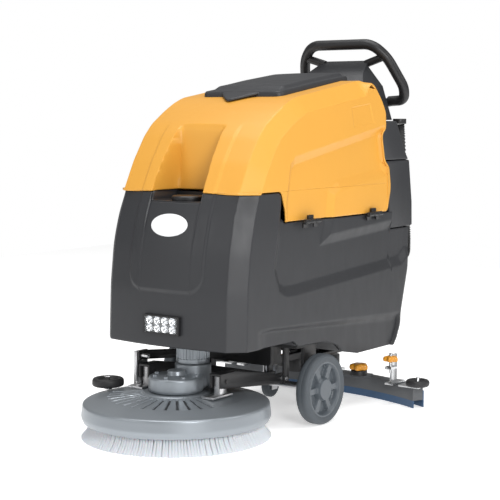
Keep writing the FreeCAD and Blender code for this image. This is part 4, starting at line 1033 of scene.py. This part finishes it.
# ---------------------------------------------------------------- hoses and handle
class SCRUBBER_OT_hoses(bpy.types.Operator):
    """Corrugated drain and suction hoses"""
    bl_idname = "scrubber.hoses"
    bl_label = "Hoses"

    def execute(self, context):
        path = route(machine(*np.array(((180, 882, 175), (180, 918, 175), (177, 930, 206), (175, 930, 262),
                                         (162, 928, 400), (152, 926, 586))).T), 420)
        wave = 0.0155 + 0.0014 * np.cos(np.arange(420) * 2 * math.pi / 5)
        Shape().grid(tube(path, wave, 24, (1, 0.1, 0)), wrap_columns=True).build(
            "drain_hose_ribs", "chassis", "soft_black", replaces=("drain_hose",), crease=80)
        low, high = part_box("suction_hose")
        ends = (low.y, high.y)
        start = Vector((0, ends[0], high.z - 0.016))
        path = route(np.array(((0, ends[0], start.z), (0, ends[0] + 0.03, start.z - 0.004),
                               (0, ends[1] - 0.03, low.z + 0.021), (0, ends[1], low.z + 0.0165))), 150)
        wave = 0.0148 + 0.0012 * np.cos(np.arange(150) * 2 * math.pi / 5)
        hose = Shape().grid(tube(path, wave, 24, (1, 0, 0.1)), wrap_columns=True).build(
            "suction_hose_ribs", None, "soft_black", replaces=("suction_hose",), crease=80)
        tuple(path[0])
        tuple(path[-1])
        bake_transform(hose)
        return {"FINISHED"}


EDGE = {"rear_column_cover": 0.006, "column_riser": 0.006, "console_housing": 0.009, "battery_1": 0.003,
        "battery_2": 0.003}
KEPT = ("handle_ring", "display_window", "headlight_housing", "headlight_lens", "blade_strap", "front_blade",
        "rear_blade")


class SCRUBBER_OT_hardware(bpy.types.Operator):
    """Frame, arms, brackets, batteries and controls with rounded edges and their finishes"""
    bl_idname = "scrubber.hardware"
    bl_label = "Hardware"

    def execute(self, context):
        slots = {entry["node"]: entry["material_slot"] for entry in frame["record"]["subparts"]}
        for body, names in frame["record"]["behaviour"]["bodies"].items():
            for node in names:
                if node not in MOULDED and node not in KEPT:
                    softened(node + "_finished", [node], body, slots[node], EDGE.get(node, 0.0012))
        for node, item in NODES.items():
            item.data.materials.clear()
            item.data.materials.append(coat_of(slots[node]))
        return {"FINISHED"}


# ---------------------------------------------------------------- stage
def area_light(name, place, aim, size, power):
    """A soft square light turned towards a point."""
    data = bpy.data.lights.new(name, "AREA")
    data.size = size
    data.energy = power
    lamp = bpy.data.objects.new(name, data)
    bpy.context.scene.collection.objects.link(lamp)
    lamp.location = place
    lamp.rotation_euler = (Vector(aim) - Vector(place)).to_track_quat("-Z", "Y").to_euler()
    return lamp


class SCRUBBER_OT_stage(bpy.types.Operator):
    """Camera, pale floor and soft studio light"""
    bl_idname = "scrubber.stage"
    bl_label = "Stage"

    def execute(self, context):
        scene = context.scene
        camera_data = bpy.data.cameras.new("camera")
        camera_data.lens = 100.6
        camera_data.sensor_width = 36
        camera = bpy.data.objects.new("camera", camera_data)
        scene.collection.objects.link(camera)
        camera.location = (2.3720, BRUSH_AXIS.y - 2.9042, 0.8813)
        camera.rotation_euler = (math.radians(90 - 5.71), 0, math.radians(36.18))
        scene.camera = camera

        world = bpy.data.worlds.new("studio")
        world.use_nodes = True
        tree = world.node_tree
        tree.nodes["Background"].inputs["Color"].default_value = (1, 1, 1, 1)
        seen = tree.nodes.new("ShaderNodeLightPath")
        level = tree.nodes.new("ShaderNodeMapRange")
        level.inputs["To Min"].default_value = 0.30
        level.inputs["To Max"].default_value = 1.0
        tree.links.new(seen.outputs["Is Camera Ray"], level.inputs["Value"])
        tree.links.new(level.outputs["Result"], tree.nodes["Background"].inputs["Strength"])
        scene.world = world
        scene.view_settings.view_transform = "Standard"

        grid = np.linspace(-3.8, 3.8, 9)
        x, y = np.meshgrid(grid, grid, indexing="ij")
        mesh = bpy.data.meshes.new("studio_floor")
        shape = Shape().grid(np.stack((x, y, np.full_like(x, CAD_BOX[0][2] - 0.0005)), -1))
        mesh.from_pydata(np.concatenate(shape.points).tolist(), [], np.concatenate(shape.faces).tolist())
        make = Maker("pale_floor")
        cloud = make.noise(2.0, 3.0)
        mesh.materials.append(make.done(Base_Color=make.mix(cloud, (0.93, 0.93, 0.93, 1), (0.96, 0.96, 0.96, 1)),
                                        Roughness=0.8, Specular_IOR_Level=0.1, Emission_Color=(1, 1, 1, 1),
                                        Emission_Strength=0.5))
        floor = bpy.data.objects.new("studio_floor", mesh)
        scene.collection.objects.link(floor)

        aim = (0, 0, 0.5)
        area_light("key_light", (3.4, -2.5, 1.9), aim, 1.3, 96)
        area_light("side_light", (3.6, 1.4, 2.6), aim, 2.0, 40)
        area_light("front_light", (-1.6, -3.8, 2.0), aim, 1.6, 24)
        area_light("top_light", (0, -0.4, 4.4), aim, 4.0, 165)
        return {"FINISHED"}


# ---------------------------------------------------------------- add-on
PIECES = (SCRUBBER_OT_stage, SCRUBBER_OT_lower_body, SCRUBBER_OT_recovery_tank, SCRUBBER_OT_tank_lid,
          SCRUBBER_OT_brush, SCRUBBER_OT_deck, SCRUBBER_OT_wheels, SCRUBBER_OT_squeegee, SCRUBBER_OT_lamp,
          SCRUBBER_OT_hoses, SCRUBBER_OT_hardware)


class SCRUBBER_PT_panel(bpy.types.Panel):
    """Sidebar panel that lists the pieces"""
    bl_label = "Floor Scrubber"
    bl_space_type = "VIEW_3D"
    bl_region_type = "UI"
    bl_category = "Scrubber"

    def draw(self, context):
        for group in (context.scene.scrubber_colours, context.scene.scrubber_sizes):
            for name in group.bl_rna.properties.keys():
                if name not in ("rna_type", "name"):
                    self.layout.prop(group, name)
        for piece in PIECES:
            self.layout.operator(piece.bl_idname)


CLASSES = (ScrubberColours, ScrubberSizes) + PIECES + (SCRUBBER_PT_panel,)


def register():
    """Make the classes known and hang the settings on the scene."""
    for item in CLASSES:
        bpy.utils.register_class(item)
    bpy.types.Scene.scrubber_colours = bpy.props.PointerProperty(type=ScrubberColours)
    bpy.types.Scene.scrubber_sizes = bpy.props.PointerProperty(type=ScrubberSizes)


def unregister():
    """Undo register."""
    del bpy.types.Scene.scrubber_colours
    del bpy.types.Scene.scrubber_sizes
    for item in reversed(CLASSES):
        bpy.utils.unregister_class(item)


def main():
    """Build every piece in order."""
    register()
    for piece in PIECES:
        group, name = piece.bl_idname.split(".")
        getattr(getattr(bpy.ops, group), name)()


if __name__ == "__main__":
    main()
